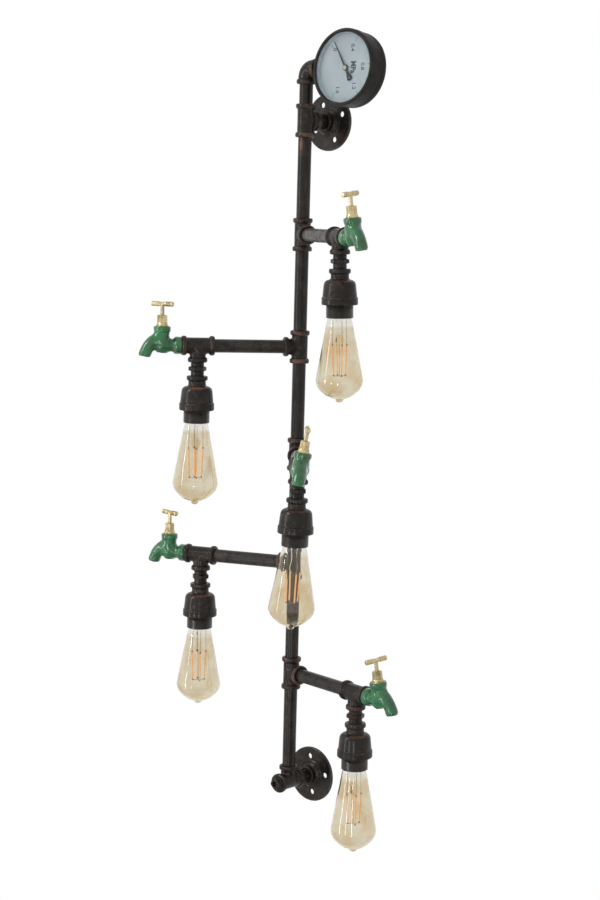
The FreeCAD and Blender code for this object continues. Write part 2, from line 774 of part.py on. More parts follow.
def spindle():
    """Brass spindle with its valve disc and the eye that the T-bar passes through."""
    radius = s.spindle_od / 2
    low = s.tap_cavity_floor + s.valve_lift
    valve_r = s.tap_cavity_od / 2 - s.valve_fit
    eye_r = s.bar_od / 2 + s.eye_wall
    eye_height = s.bar_od + 2 * s.eye_cap
    eye_low = s.bar_height - eye_height / 2
    body = new_body("spindle_form")
    spin(body, "spindle_turned", [
        (0, low), (valve_r, low), (valve_r, low + s.valve_height),
        (radius, low + s.valve_height), (radius, eye_low), (eye_r, eye_low + eye_r - radius),
        (eye_r, eye_low + eye_height), (0, eye_low + eye_height)], "z")
    hole = primitive("Cylinder", "spindle_hole",
                     Frame().shift(-2 * eye_r, 0, s.bar_height).turn("y", 90),
                     Radius=s.bar_od / 2, Height=4 * eye_r)
    return cut("spindle", body, hole)


def t_bar():
    """T-bar along x with a turned knob at each end; origin at its middle."""
    half = s.bar_length / 2
    knob_in = half - s.bar_knob_length
    step = s.knob_step
    bar_r = s.bar_od / 2
    knob_r = bar_r + step
    body = new_body("t_bar")
    spin(body, "t_bar_turned", [
        (-half, 0), (-half, bar_r), (step - half, knob_r), (-knob_in, knob_r),
        (step - knob_in, bar_r), (knob_in - step, bar_r), (knob_in, knob_r),
        (half - step, knob_r), (half, bar_r), (half, 0)], "x")
    return body


# Gauge. Its origin is where the dial's axis meets the stem's, +z towards the room, +x along
# the stem away from the column, +y up.

plate_top = s.stem_block_height / 2 + s.plate_thickness
dial_back = plate_top + s.post_height
dial_face = dial_back + s.dial_thickness
case_front = dial_face + s.dial_drop
glass_front = case_front + s.glass_thickness
gauge_front = glass_front + s.ring_lip
gauge_back = gauge_front - s.gauge_depth
case_r = s.case_od / 2
skirt_r = case_r + s.gauge_fit
ring_r = skirt_r + s.ring_wall
window_r = case_r - s.ring_cover
gauge_offset = elbow_reach + s.stem_hex_length + s.stem_gap + ring_r


def gauge_case():
    """Cup of the gauge, open to the front, with a hole for the stem."""
    inner = case_r - s.case_wall
    body = new_body("gauge_cup")
    spin(body, "gauge_cup_form", [
        (0, gauge_back), (case_r - s.case_edge, gauge_back), (case_r, gauge_back + s.case_edge),
        (case_r, case_front), (inner, case_front), (inner, gauge_back + s.case_edge),
        (case_r - s.case_edge, gauge_back + s.case_wall), (0, gauge_back + s.case_wall)], "z")
    hole = primitive("Cylinder", "stem_hole", Frame().shift(x=-case_r).turn("y", 90),
                     Radius=s.stem_neck_od / 2 + s.gauge_fit, Height=case_r / 2)
    return cut("gauge_case_shape", body, hole)


def gauge_ring():
    """Bezel ring: a lip in front of the glass and a skirt over the case."""
    body = new_body("gauge_ring_shape")
    spin(body, "gauge_ring_form", [
        (window_r, gauge_front), (ring_r - s.ring_edge, gauge_front),
        (ring_r, gauge_front - s.ring_edge), (ring_r, gauge_front - s.ring_depth),
        (skirt_r, gauge_front - s.ring_depth), (skirt_r, glass_front),
        (window_r, glass_front)], "z")
    return body


def gauge_disc(name, radius, low, high, hole_r=None):
    """Flat round disc between two heights, with or without a centre hole."""
    start = hole_r if hole_r is not None else 0
    body = new_body(name)
    spin(body, name + "_form", [(start, low), (radius, low), (radius, high), (start, high)], "z")
    return body


def gauge_stem():
    """Threaded stem, hexagon, block inside the case and the curved tube brazed to the block."""
    face = gauge_offset - elbow_reach
    block_x = case_r - s.case_wall - s.stem_block_length
    block_low = block_x + s.stem_block_length - s.case_wall
    return fused("gauge_stem_shape", [
        primitive("Cylinder", "stem_thread",
                  Frame().shift(x=-(face + s.thread_depth)).turn("y", 90),
                  Radius=pipe_r, Height=s.thread_depth),
        hexagon("stem_hexagon", s.stem_hex, s.stem_hex_length,
                Frame().shift(x=-face).turn("y", 90)),
        primitive("Cylinder", "stem_neck", Frame().shift(x=-face).turn("y", 90),
                  Radius=s.stem_neck_od / 2, Height=face - block_low),
        primitive("Box", "stem_block",
                  Frame().shift(-block_low, -s.stem_block_width / 2, -s.stem_block_height / 2),
                  Length=block_low - block_x, Width=s.stem_block_width,
                  Height=s.stem_block_height),
        primitive("Torus", "bourdon_tube", Frame().turn("z", s.tube_start),
                  Radius1=block_x + s.tube_grip, Radius2=s.tube_od / 2, Angle3=s.tube_sweep)])


def gauge_plate():
    """Plate of the works on the stem's block, with the bush and two posts for the dial."""
    block_end = case_r - 2 * s.case_wall
    block_top = s.stem_block_height / 2
    length = block_end + s.plate_overhang
    solid = fused("gauge_plate_solid", [
        primitive("Box", "plate", Frame().shift(-block_end, -s.plate_width / 2, block_top),
                  Length=length, Width=s.plate_width, Height=s.plate_thickness),
        primitive("Cylinder", "post_near", Frame().shift(-(block_end - s.post_od), 0, plate_top),
                  Radius=s.post_od / 2, Height=s.post_height),
        primitive("Cylinder", "post_far", Frame().shift(s.plate_overhang - s.post_od, 0, plate_top),
                  Radius=s.post_od / 2, Height=s.post_height)])
    bush = primitive("Cylinder", "pointer_bush", Frame().shift(z=block_top),
                     Radius=s.pointer_shaft_od / 2 + s.pointer_fit, Height=s.plate_thickness)
    return cut("gauge_plate", solid, bush)


def pointer():
    """Pointer on its shaft, along +y from the dial's centre: long blade, hub and broad tail."""
    low = dial_face + s.pointer_lift
    reach = window_r - s.pointer_gap
    half = s.pointer_width / 2
    tip_half = s.pointer_tip_width / 2
    tail_half = s.pointer_tail_width / 2
    hub_r = s.pointer_hub_od / 2
    blade = doc.addObject("Part::Feature", "pointer_blade")
    corners = [
        (-half, 0), (-tip_half, reach), (tip_half, reach), (half, 0),
        (tail_half, tip_half - s.pointer_tail), (tail_half / 2, -s.pointer_tail),
        (-tail_half / 2, -s.pointer_tail), (-tail_half, tip_half - s.pointer_tail)]
    points = [FreeCAD.Vector(number_of(x), number_of(y), low.number) for x, y in corners]
    face = Part.Face(Part.makePolygon(points + points[:1]))
    blade.Shape = face.extrude(FreeCAD.Vector(0, 0, s.pointer_thickness.number))
    shaft_low = s.stem_block_height / 2 - s.plate_thickness
    return fused("pointer_shape", [
        blade,
        primitive("Cylinder", "pointer_hub", Frame().shift(z=low - s.pointer_lift / 2),
                  Radius=hub_r, Height=s.pointer_hub_height),
        primitive("Cylinder", "pointer_shaft", Frame().shift(z=shaft_low),
                  Radius=s.pointer_shaft_od / 2, Height=low - shaft_low)])


def column_cable():
    """Cable from the upper flange's hub to the column's axis and down to the lowest arm."""
    bend = s.lead_bend
    start = s.hub_height - socket_depth
    low = tee_drop(arm_count) + s.tee_reach
    return fused("column_cable", [
        primitive("Cylinder", "cable_level", Frame().shift(y=-(standoff - bend)).turn("x", -90),
                  Radius=lead_r, Height=standoff - bend - start),
        primitive("Torus", "cable_corner",
                  Frame().shift(0, bend - standoff, -bend).turn("y", -90).turn("z", -90),
                  Radius1=bend, Radius2=lead_r, Angle3=90),
        primitive("Cylinder", "cable_upright", Frame().shift(0, -standoff, -low),
                  Radius=lead_r, Height=low - bend)])


# Masters: each shape is made once and copied to its places

tee_master = tee()
column_pipe_masters = [
    pipe(f"column_pipe_{name}", gap + 2 * s.thread_depth)
    for name, gap in zip(GAP_NAMES, column_gaps)]
top_pipe_master = pipe("top_pipe", s.top_gap + 2 * s.thread_depth)
arm_pipe_master = pipe("arm_pipe", s.arm_gap + 2 * s.thread_depth)
wall_nipple_master = pipe("wall_nipple", s.wall_gap + 2 * s.thread_depth)
flange_master = flange()
hex_nipple_master = hex_nipple()
bell_master = bell()
holder_master = lampholder()
lead_master = arm_lead()
glass_master = bulb_glass()
cap_master = bulb_cap()
mount_master = glass_mount()
filament_master = filament()
tap_master = tap_body()
headgear_master = headgear()
bar_master = t_bar()
spindle_master = spindle()

# Column and wall fittings

column = Frame().shift(y=-standoff)
bottom_z = -tee_drop(arm_count + 1)
upper_wall = Frame()
lower_wall = Frame().shift(z=bottom_z)

node("upper_wall_flange", [(flange_master, Frame().turn("x", 90).turn("z", s.upper_bolt_turn))])
node("lower_wall_flange", [
    (flange_master, lower_wall.turn("x", 90).turn("z", s.lower_bolt_turn))])
nipple_y = -(s.hub_height + s.wall_gap / 2)
node("wall_nipples", [
    (wall_nipple_master, Frame().shift(y=nipple_y).turn("x", 90)),
    (wall_nipple_master, Frame().shift(y=nipple_y, z=bottom_z).turn("x", 90))])
node("wall_tees", [
    (tee_master, column.turn("z", 90)),
    (tee_master, column.shift(z=bottom_z).turn("z", 90).turn("y", -90))])
node("tee_plug", [
    (plug(), column.shift(y=-s.tee_reach, z=bottom_z).turn("x", 90).turn("z", 45))])
column_pipes = [
    (master, column.shift(z=-(tee_drop(index) + s.tee_reach + column_gaps[index] / 2)))
    for index, master in enumerate(column_pipe_masters)]
top_pipe_z = s.tee_reach + s.top_gap / 2
node("column_pipes", column_pipes + [(top_pipe_master, column.shift(z=top_pipe_z))])
node("column_wiring", [(column_cable(), Frame())])

elbow_frame = column.shift(z=gauge_rise).turn("z", -s.gauge_azimuth)
node("gauge_elbow", [(elbow(), elbow_frame)])

# Gauge

stem_frame = elbow_frame.turn("y", s.elbow_droop).shift(x=gauge_offset)
gauge_frame = stem_frame.turn("x", -s.gauge_tilt).turn("x", 90)
node("gauge_stem", [(gauge_stem(), gauge_frame)])
node("gauge_case", [(gauge_case(), gauge_frame)])
node("gauge_ring", [(gauge_ring(), gauge_frame)])
glass_disc = gauge_disc("gauge_glass_disc", case_r, case_front, glass_front)
node("gauge_glass", [(glass_disc, gauge_frame)])
dial_r = case_r - s.case_wall - s.gauge_fit
dial_disc = gauge_disc("gauge_dial_disc", dial_r, dial_back, dial_face, s.dial_hole / 2)
node("gauge_dial", [(dial_disc, gauge_frame)])
node("gauge_movement", [(gauge_plate(), gauge_frame)])
node("gauge_pointer", [(pointer(), gauge_frame.turn("z", -s.pointer_turn))])

# Arms

for index, name in enumerate(ARM_NAMES):
    number = index + 1
    azimuth = getattr(s, f"azimuth_{name}")
    arm_frame = column.shift(z=-tee_drop(number)).turn("z", -azimuth)
    end_frame = arm_frame.shift(x=arm_length)
    lamp_frame = end_frame.turn("x", getattr(s, f"lamp_twist_{name}"))
    tap_frame = end_frame.shift(x=s.tee_reach).turn("x", getattr(s, f"tap_twist_{name}"))
    tap_axis_frame = tap_frame.shift(x=s.tap_axis)
    handle_frame = tap_axis_frame.turn("z", -getattr(s, f"handle_turn_{name}"))
    mouth_frame = lamp_frame.shift(z=-mouth_drop)
    filament_turn = FULL_TURN / s.filament_count
    node(f"arm_tees_{number}", [
        (tee_master, arm_frame), (tee_master, lamp_frame.turn("y", 90))])
    node(f"arm_nipples_{number}", [
        (arm_pipe_master, arm_frame.shift(x=arm_length / 2).turn("y", 90)),
        (hex_nipple_master, lamp_frame)])
    node(f"lamp_bell_{number}", [(bell_master, lamp_frame.shift(z=-bell_top))])
    node(f"lampholder_{number}", [(holder_master, mouth_frame), (lead_master, lamp_frame)])
    node(f"bulb_glass_{number}", [(glass_master, mouth_frame)])
    node(f"bulb_base_{number}", [(cap_master, mouth_frame), (mount_master, mouth_frame)] + [
        (filament_master, mouth_frame.turn("z", (turn + 0.5) * filament_turn))
        for turn in range(int(SIZES["filament_count"]))])
    node(f"tap_body_{number}", [(tap_master, tap_frame)])
    node(f"tap_headgear_{number}", [(headgear_master, tap_axis_frame)])
    node(f"tap_handle_{number}", [
        (spindle_master, handle_frame), (bar_master, handle_frame.shift(z=s.bar_height))])

doc.recompute()

for thing in doc.Objects:
    if "Invalid" in thing.State or "Error" in thing.State:
        raise RuntimeError(f"{thing.Name} failed: {thing.State}")

os.makedirs("parts", exist_ok=True)
for group in nodes:
    shape = group.Shape
    if shape.isNull() or not shape.isValid() or not shape.Solids:
        raise RuntimeError(f"{group.Label} has no valid solid")
    shape.exportStep(f"parts/{group.Label}.step")
    print(group.Label, len(shape.Solids), round(shape.Volume))
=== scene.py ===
"""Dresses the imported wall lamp: a pipe column with swinging arms, bib taps, bulbs and a gauge.

Sizes are in mm, in the part's own frame: x along the wall, y into the wall, z up, and the
origin at the centre of the upper wall flange's back. A mesh goes to metres when it is made.
"""

import logging
import math
from dataclasses import dataclass
from enum import Enum
from functools import lru_cache
from typing import Callable, Sequence

import bpy
import numpy as np
import openvdb
from mathutils import Matrix, Vector


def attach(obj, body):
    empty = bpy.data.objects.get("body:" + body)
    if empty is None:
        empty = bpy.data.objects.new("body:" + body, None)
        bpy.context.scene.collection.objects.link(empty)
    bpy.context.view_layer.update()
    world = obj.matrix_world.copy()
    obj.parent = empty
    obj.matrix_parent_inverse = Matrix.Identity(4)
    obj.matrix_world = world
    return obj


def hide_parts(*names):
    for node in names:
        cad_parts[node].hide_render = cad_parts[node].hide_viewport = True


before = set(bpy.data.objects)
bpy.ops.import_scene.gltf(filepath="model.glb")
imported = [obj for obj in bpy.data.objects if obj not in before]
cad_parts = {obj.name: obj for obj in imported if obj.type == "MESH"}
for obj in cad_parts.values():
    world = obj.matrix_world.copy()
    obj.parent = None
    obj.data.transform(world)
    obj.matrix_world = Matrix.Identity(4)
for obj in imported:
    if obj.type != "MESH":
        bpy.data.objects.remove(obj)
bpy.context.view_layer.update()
LOG = logging.getLogger("wall_lamp")
MM = 0.001
Field = Callable[[np.ndarray], np.ndarray]
Line = Sequence[tuple[float, float]]
Marks = dict[str, np.ndarray]


class Axis(Enum):
    """An axis of the part's frame."""

    X = "X"
    Y = "Y"
    Z = "Z"


# Places


def shift(x: float = 0.0, y: float = 0.0, z: float = 0.0) -> np.ndarray:
    """Returns the 4 by 4 matrix of a shift in mm.

    Args:
        x: How far along the wall.
        y: How far into the wall.
        z: How far up.

    Returns:
        The matrix.
    """
    matrix = np.eye(4)
    matrix[:3, 3] = (x, y, z)
    return matrix


def turn(axis: Axis, degrees: float) -> np.ndarray:
    """Returns the 4 by 4 matrix of a right-handed turn about an axis through the origin."""
    return np.array(Matrix.Rotation(math.radians(degrees), 4, axis.value))


@dataclass(frozen=True)
class Layout:
    """Where the column's fittings stand and the pipe that joins them, in mm and degrees."""

    standoff: float = 54.0
    gaps: tuple[float, ...] = (113.6, 113.1, 108.1, 112.2, 115.7, 115.3)
    pipe: float = 9.6
    socket: float = 9.68
    bore: float = 7.25
    made_up: float = 10.0
    arm_length: float = 147.5
    tee_reach: float = 23.5
    hub_height: float = 16.0
    gauge_rise: float = 73.0
    gauge_azimuth: float = 1.5
    gauge_droop: float = 2.4
    gauge_offset: float = 85.0
    gauge_tilt: float = 5.0

    @property
    def lowest(self) -> int:
        """The number of the lowest tee, counted down from the top one, which is 0."""
        return len(self.gaps)

    def drop(self, number: int) -> float:
        """Returns how far a tee's centre is below the top tee's: the pipes and tees above it."""
        return sum(self.gaps[:number]) + 2 * self.tee_reach * number

    def column(self, number: int = 0) -> np.ndarray:
        """Returns the place of a tee's centre on the column's axis."""
        return shift(0.0, -self.standoff, -self.drop(number))

    def elbow(self) -> np.ndarray:
        """Returns the place of the top elbow's centre, with x along its level leg."""
        return self.column() @ shift(z=self.gauge_rise) @ turn(Axis.Z, -self.gauge_azimuth)

    def gauge(self) -> np.ndarray:
        """Returns the gauge's place: z towards the room, y up, x away from the column."""
        stem = self.elbow() @ turn(Axis.Y, self.gauge_droop) @ shift(x=self.gauge_offset)
        return stem @ turn(Axis.X, -self.gauge_tilt) @ turn(Axis.X, 90.0)


LAYOUT = Layout()


@dataclass(frozen=True)
class ArmPlan:
    """One arm: its azimuth, how its fittings are turned, its bulb and the light painted on its pipe and
    bell.
    """

    number: int
    azimuth: float
    lamp_twist: float
    tap_twist: float
    handle_turn: float
    bulb_length: float
    # Painted light: how far the arm pipe's finish turns a lighter grey, for the light that falls on it.
    pipe_painted_light: float = 0.0
    # Painted highlight: how coppery the bell's shoulder turns on the side that faces the camera.
    shoulder_sheen: float = 0.3
    bulb_turn: float = 0.0

    @property
    def body(self) -> str:
        """The CAD body that the arm's pieces ride on."""
        return f"arm_{self.number}"

    def column_tee(self) -> np.ndarray:
        """Returns the place of the arm's tee on the column, with x along the arm."""
        return LAYOUT.column(self.number) @ turn(Axis.Z, -self.azimuth)

    def lamp(self) -> np.ndarray:
        """Returns the place of the end tee's centre, with z up along the lamp."""
        return self.column_tee() @ shift(x=LAYOUT.arm_length) @ turn(Axis.X, self.lamp_twist)

    def tap(self) -> np.ndarray:
        """Returns the place where the tap meets the end tee's face, with x away from the tee."""
        face = self.column_tee() @ shift(x=LAYOUT.arm_length + LAYOUT.tee_reach)
        return face @ turn(Axis.X, self.tap_twist)


ARMS = (
    ArmPlan(1, 29.0, 1.5, 7.0, 57.7, 115.7, pipe_painted_light=0.85, bulb_turn=43.0),
    ArmPlan(2, 127.6, 0.0, 0.0, 29.6, 117.4, pipe_painted_light=0.25, shoulder_sheen=1.0, bulb_turn=45.0),
    ArmPlan(3, 48.0, -1.5, -9.5, 0.0, 116.5, bulb_turn=68.0),
    ArmPlan(4, 160.0, 0.0, 0.0, 28.2, 114.9, pipe_painted_light=0.3, bulb_turn=80.0),
    ArmPlan(5, 10.8, 0.8, 9.0, 100.5, 120.5, pipe_painted_light=0.15, bulb_turn=22.0),
)


# Shapes


def smooth_step(value: np.ndarray, low: float, high: float) -> np.ndarray:
    """Returns 0 at the low value, 1 at the high one and a smooth rise between them."""
    share = np.clip((value - low) / (high - low), 0.0, 1.0)
    return share * share * (3 - 2 * share)


@dataclass
class Shape:
    """A piece's surface in mm: its points, its faces with four corners each, and a rail value.

    A triangle repeats one of its corners. The rail is how far along its profile a point lies,
    in mm, which turned finishes read for their tool marks.
    """

    points: np.ndarray
    faces: np.ndarray
    rail: np.ndarray

    def placed(self, place: np.ndarray) -> "Shape":
        """Returns a copy carried to a place."""
        points = self.points @ place[:3, :3].T + place[:3, 3]
        return Shape(points, self.faces, self.rail)

    def welded(self) -> "Shape":
        """Returns a copy whose coincident points are one, with its faces outwards.

        The sign of the sum of the volumes between each face and the origin says which way
        the faces point.

        Returns:
            The welded copy.
        """
        _, first, inverse = np.unique(
            np.round(self.points, 4), axis=0, return_index=True, return_inverse=True)
        faces = inverse.reshape(-1)[self.faces]
        distinct = 4 - (faces == np.roll(faces, -1, axis=1)).sum(axis=1)
        faces = faces[distinct >= 3]
        points = self.points[first]
        a, b, c, d = (points[faces[:, corner]] for corner in range(4))
        volume = np.einsum("ij,ij->", a, np.cross(b, c)) + np.einsum("ij,ij->", a, np.cross(c, d))
        if volume < 0:
            faces = faces[:, ::-1]
        return Shape(points, faces, self.rail[first])


def joined(shapes: Sequence[Shape]) -> Shape:
    """Returns several shapes as one, each still a shell of its own.

    Args:
        shapes: The shapes to join.

    Returns:
        One shape with all their faces.
    """
    starts = np.cumsum([0] + [len(shape.points) for shape in shapes[:-1]])
    return Shape(
        np.concatenate([shape.points for shape in shapes]),
        np.concatenate([shape.faces + start for shape, start in zip(shapes, starts)]),
        np.concatenate([shape.rail for shape in shapes]))


def net(points: np.ndarray, close_rows: bool, close_columns: bool) -> Shape:
    """Makes a surface from a grid of points, rows by columns by 3.

    Each face joins a point to the next in its row, the next row's next and the next row's own.

    Args:
        points: The grid of points in mm.
        close_rows: Whether the last row joins the first.
        close_columns: Whether the last column joins the first.

    Returns:
        The welded shape.
    """
    rows, columns = points.shape[:2]
    row = np.arange(rows if close_rows else rows - 1)
    column = np.arange(columns if close_columns else columns - 1)
    i, j = np.meshgrid(row, column, indexing="ij")
    i, j = i.ravel(), j.ravel()
    next_i, next_j = (i + 1) % rows, (j + 1) % columns
    faces = np.stack([i * columns + j, i * columns + next_j,
                      next_i * columns + next_j, next_i * columns + j], axis=1)
    steps = np.linalg.norm(np.diff(points, axis=0), axis=2)
    rail = np.concatenate([np.zeros((1, columns)), np.cumsum(steps, axis=0)])
    return Shape(points.reshape(-1, 3), faces, rail.ravel()).welded()


def eased(line: Line, radius: float, closed: bool = False, steps: int = 4) -> np.ndarray:
    """Rounds a profile's corners.

    Each corner gives way to a parabola that leaves its two sides at the same distance from
    the corner: the radius, or 45 per cent of the shorter side.

    Args:
        line: The profile's corners, each a radius and a height.
        radius: How far from each corner the rounding starts.
        closed: Whether the last corner joins the first.
        steps: How many parts each rounding has.

    Returns:
        The rounded profile as an array of radii and heights.
    """
    corners = np.array(line, dtype=float)
    before = np.roll(corners, 1, axis=0)
    after = np.roll(corners, -1, axis=0)
    into, out = corners - before, after - corners
    length_in = np.maximum(np.linalg.norm(into, axis=1), 1e-9)
    length_out = np.maximum(np.linalg.norm(out, axis=1), 1e-9)
    reach = np.minimum(radius, 0.45 * np.minimum(length_in, length_out))
    start = corners - into * (reach / length_in)[:, None]
    end = corners + out * (reach / length_out)[:, None]
    t = np.linspace(0.0, 1.0, steps + 1)[None, :, None]
    curves = ((1 - t) ** 2 * start[:, None] + 2 * t * (1 - t) * corners[:, None]
              + t ** 2 * end[:, None])
    if closed:
        return curves.reshape(-1, 2)
    inner = curves[1:-1].reshape(-1, 2)
    return np.concatenate([corners[:1], inner, corners[-1:]])


def filled(line: np.ndarray, step: float | np.ndarray) -> np.ndarray:
    """Adds points to a profile's runs, evenly, so that no part is longer than the run's step.

    Args:
        line: The profile as radii and heights.
        step: The longest part allowed, one for all runs or one for each.

    Returns:
        The profile with its added points.
    """
    lengths = np.linalg.norm(np.diff(line, axis=0), axis=1)
    parts = np.maximum(np.ceil(lengths / step).astype(int), 1)
    pieces = [line[i] + (line[i + 1] - line[i]) * (np.arange(n) / n)[:, None]
              for i, n in enumerate(parts)]
    return np.concatenate(pieces + [line[-1:]])


def hexagon_reach(columns: int, across_flats: float) -> np.ndarray:
    """Returns, for evenly spaced angles, the distance from a hexagon's centre to its side.

    Half the width across flats over the cosine of the angle from the nearest flat's middle,
    with a corner on the x axis.

    Args:
        columns: How many angles the turn has.
        across_flats: The hexagon's width across its flats.

    Returns:
        The distance at each angle.
    """
    angle = np.linspace(0.0, 360.0, columns, endpoint=False)
    from_flat = (angle + 30.0) % 60.0 - 30.0
    return across_flats / 2 / np.cos(np.radians(30.0 - np.abs(from_flat)))


def turned(line: np.ndarray, columns: int = 64, closed: bool = False,
           limit: np.ndarray | None = None, ripple: np.ndarray | None = None) -> Shape:
    """Carries a profile once round the z axis.

    A point's radius is the profile's, no more than the limit at its angle, plus the ripple
    there; its angle is its column's share of the full turn.

    Args:
        line: The profile as radii and heights.
        columns: How many angles the turn has.
        closed: Whether the profile's last point joins its first.
        limit: The greatest radius at each angle, such as a hexagon's.
        ripple: A radius to add at each row and column.

    Returns:
        The turned shape.
    """
    angle = np.linspace(0.0, 2 * np.pi, columns, endpoint=False)
    radius = np.repeat(line[:, :1], columns, axis=1)
    if limit is not None:
        radius = np.minimum(radius, limit[None, :])
    if ripple is not None:
        radius = radius + ripple
    points = np.stack([radius * np.cos(angle), radius * np.sin(angle),
                       np.repeat(line[:, 1:], columns, axis=1)], axis=2)
    return net(points, close_rows=closed, close_columns=True)


def lathed(line: Line, easing: float, columns: int, step: float = math.inf, closed: bool = False,
           steps: int = 4, limit: np.ndarray | None = None) -> Shape:
    """Eases a profile's corners, adds points to its long runs and carries it round the z axis.

    Args:
        line: The profile's corners, each a radius and a height.
        easing: How far from each corner the rounding starts.
        columns: How many angles the turn has.
        step: The longest part that a run may have.
        closed: Whether the profile's last point joins its first.
        steps: How many parts each rounding has.
        limit: The greatest radius at each angle, such as a hexagon's.

    Returns:
        The turned shape.
    """
    outline = filled(eased(line, easing, closed=closed, steps=steps), step)
    return turned(outline, columns, closed=closed, limit=limit)


# Solids given by how far each point of space lies from their surface


def polygon_field(points: np.ndarray, polygon: np.ndarray) -> np.ndarray:
    """Signed distance from points of a plane to a polygon's outline, negative inside.

    The distance is the least to any side. Whether a point is inside is how often a ray from
    it crosses the outline: odd inside, even outside.

    Args:
        points: The points, two coordinates each.
        polygon: The outline's corners in order.

    Returns:
        The signed distances.
    """
    x, y = points[:, 0], points[:, 1]
    nearest = np.full(len(points), np.inf, dtype=np.float32)
    inside = np.zeros(len(points), dtype=bool)
    for (ax, ay), (bx, by) in zip(polygon, np.roll(polygon, -1, axis=0)):
        side_x, side_y = bx - ax, by - ay
        length = side_x ** 2 + side_y ** 2
        if length < 1e-12:
            continue
        share = np.clip(((x - ax) * side_x + (y - ay) * side_y) / length, 0.0, 1.0)
        nearest = np.minimum(nearest, (x - ax - share * side_x) ** 2 + (y - ay - share * side_y) ** 2)
        if side_y:
            crossing = (ay > y) != (by > y)
            inside ^= crossing & (x < side_x * (y - ay) / side_y + ax)
    return np.where(inside, -1.0, 1.0) * np.sqrt(nearest)


def turned_field(points: np.ndarray, polygon: np.ndarray, axis: Axis) -> np.ndarray:
    """Signed distance to a solid of revolution whose outline is a polygon of radii and heights.

    Args:
        points: The points of space.
        polygon: The outline's corners as radii and heights.
        axis: The solid's axis.

    Returns:
        The signed distances.
    """
    order = {Axis.X: (1, 2, 0), Axis.Y: (2, 0, 1), Axis.Z: (0, 1, 2)}[axis]
    radius = np.hypot(points[:, order[0]], points[:, order[1]])
    return polygon_field(np.stack([radius, points[:, order[2]]], axis=1), polygon)


def bend_field(points: np.ndarray, centre: tuple[float, float], bend: float, radius: float,
               start: float, end: float, taper: float = 0.0) -> np.ndarray:
    """Signed distance to a round bar bent in the xz plane, with flat ends.

    Its middle line is an arc about the centre. The bar's radius shrinks by the taper from its
    end angle to its start angle, and two planes through the centre cut it off.

    Args:
        points: The points of space.
        centre: The arc's centre, x and z.
        bend: The arc's radius.
        radius: The bar's radius at the end angle.
        start: The lower end's angle from +x towards +z, in degrees.
        end: The upper end's angle.
        taper: How much thinner the bar is at the start angle.

    Returns:
        The signed distances.
    """
    x, z = points[:, 0] - centre[0], points[:, 2] - centre[1]
    angle = np.degrees(np.arctan2(z, x))
    share = np.clip((end - angle) / (end - start), 0.0, 1.0)
    bar = np.hypot(np.hypot(x, z) - bend, points[:, 1]) - (radius - taper * share)
    first, last = math.radians(start), math.radians(end)
    low_side = x * math.sin(first) - z * math.cos(first)
    high_side = z * math.cos(last) - x * math.sin(last)
    return np.maximum(bar, np.maximum(low_side, high_side))


def blended(a: np.ndarray, b: np.ndarray, width: float) -> np.ndarray:
    """Signed distance to two solids grown together with a fillet of about the given width.

    The lesser distance, less a quarter of the width times the square of how near they are.
    """
    near = np.maximum(width - np.abs(a - b), 0.0) / width
    return np.minimum(a, b) - near ** 2 * width / 4


def cut_away(a: np.ndarray, b: np.ndarray, width: float = 0.6) -> np.ndarray:
    """Signed distance to solid a less solid b, with a softened edge of the given width."""
    return -blended(-a, b, width)


def carved(field: Field, low: Sequence[float], high: Sequence[float], cell: float) -> Shape:
    """Meshes the zero level of a field.

    The field is sampled on an even lattice and meshed, and then each vertex moves down the
    field's slope by the field's own value, twice, which puts it on the true surface.

    Args:
        field: Signed distance in mm for an array of points.
        low: The lattice's lowest corner.
        high: Its highest corner.
        cell: The lattice's step.

    Returns:
        The welded shape.
    """
    low = np.array(low, dtype=np.float64)
    axes = [np.arange(low[k], high[k] + cell, cell) for k in range(3)]
    lattice = np.stack(np.meshgrid(*axes, indexing="ij"), axis=-1)
    values = field(lattice.reshape(-1, 3)).reshape(lattice.shape[:3]) / cell
    volume = openvdb.FloatGrid(background=3.0)
    volume.copyFromArray(np.clip(values, -3.0, 3.0).astype(np.float32))
    vertices, quads = volume.convertToQuads(isovalue=0.0)
    points = vertices.astype(np.float64) * cell + low
    probe = 0.25 * cell
    for _ in range(2):
        value = field(points)
        slope = np.stack([
            (field(points + probe * step) - field(points - probe * step)) / (2 * probe)
            for step in np.eye(3)], axis=1)
        steep = np.maximum((slope ** 2).sum(axis=1), 0.2)
        move = np.clip(value / steep, -0.5 * cell, 0.5 * cell)
        points = points - slope * move[:, None]
    return Shape(points, quads.astype(np.int64), points[:, 2] - low[2]).welded()


# Finishes


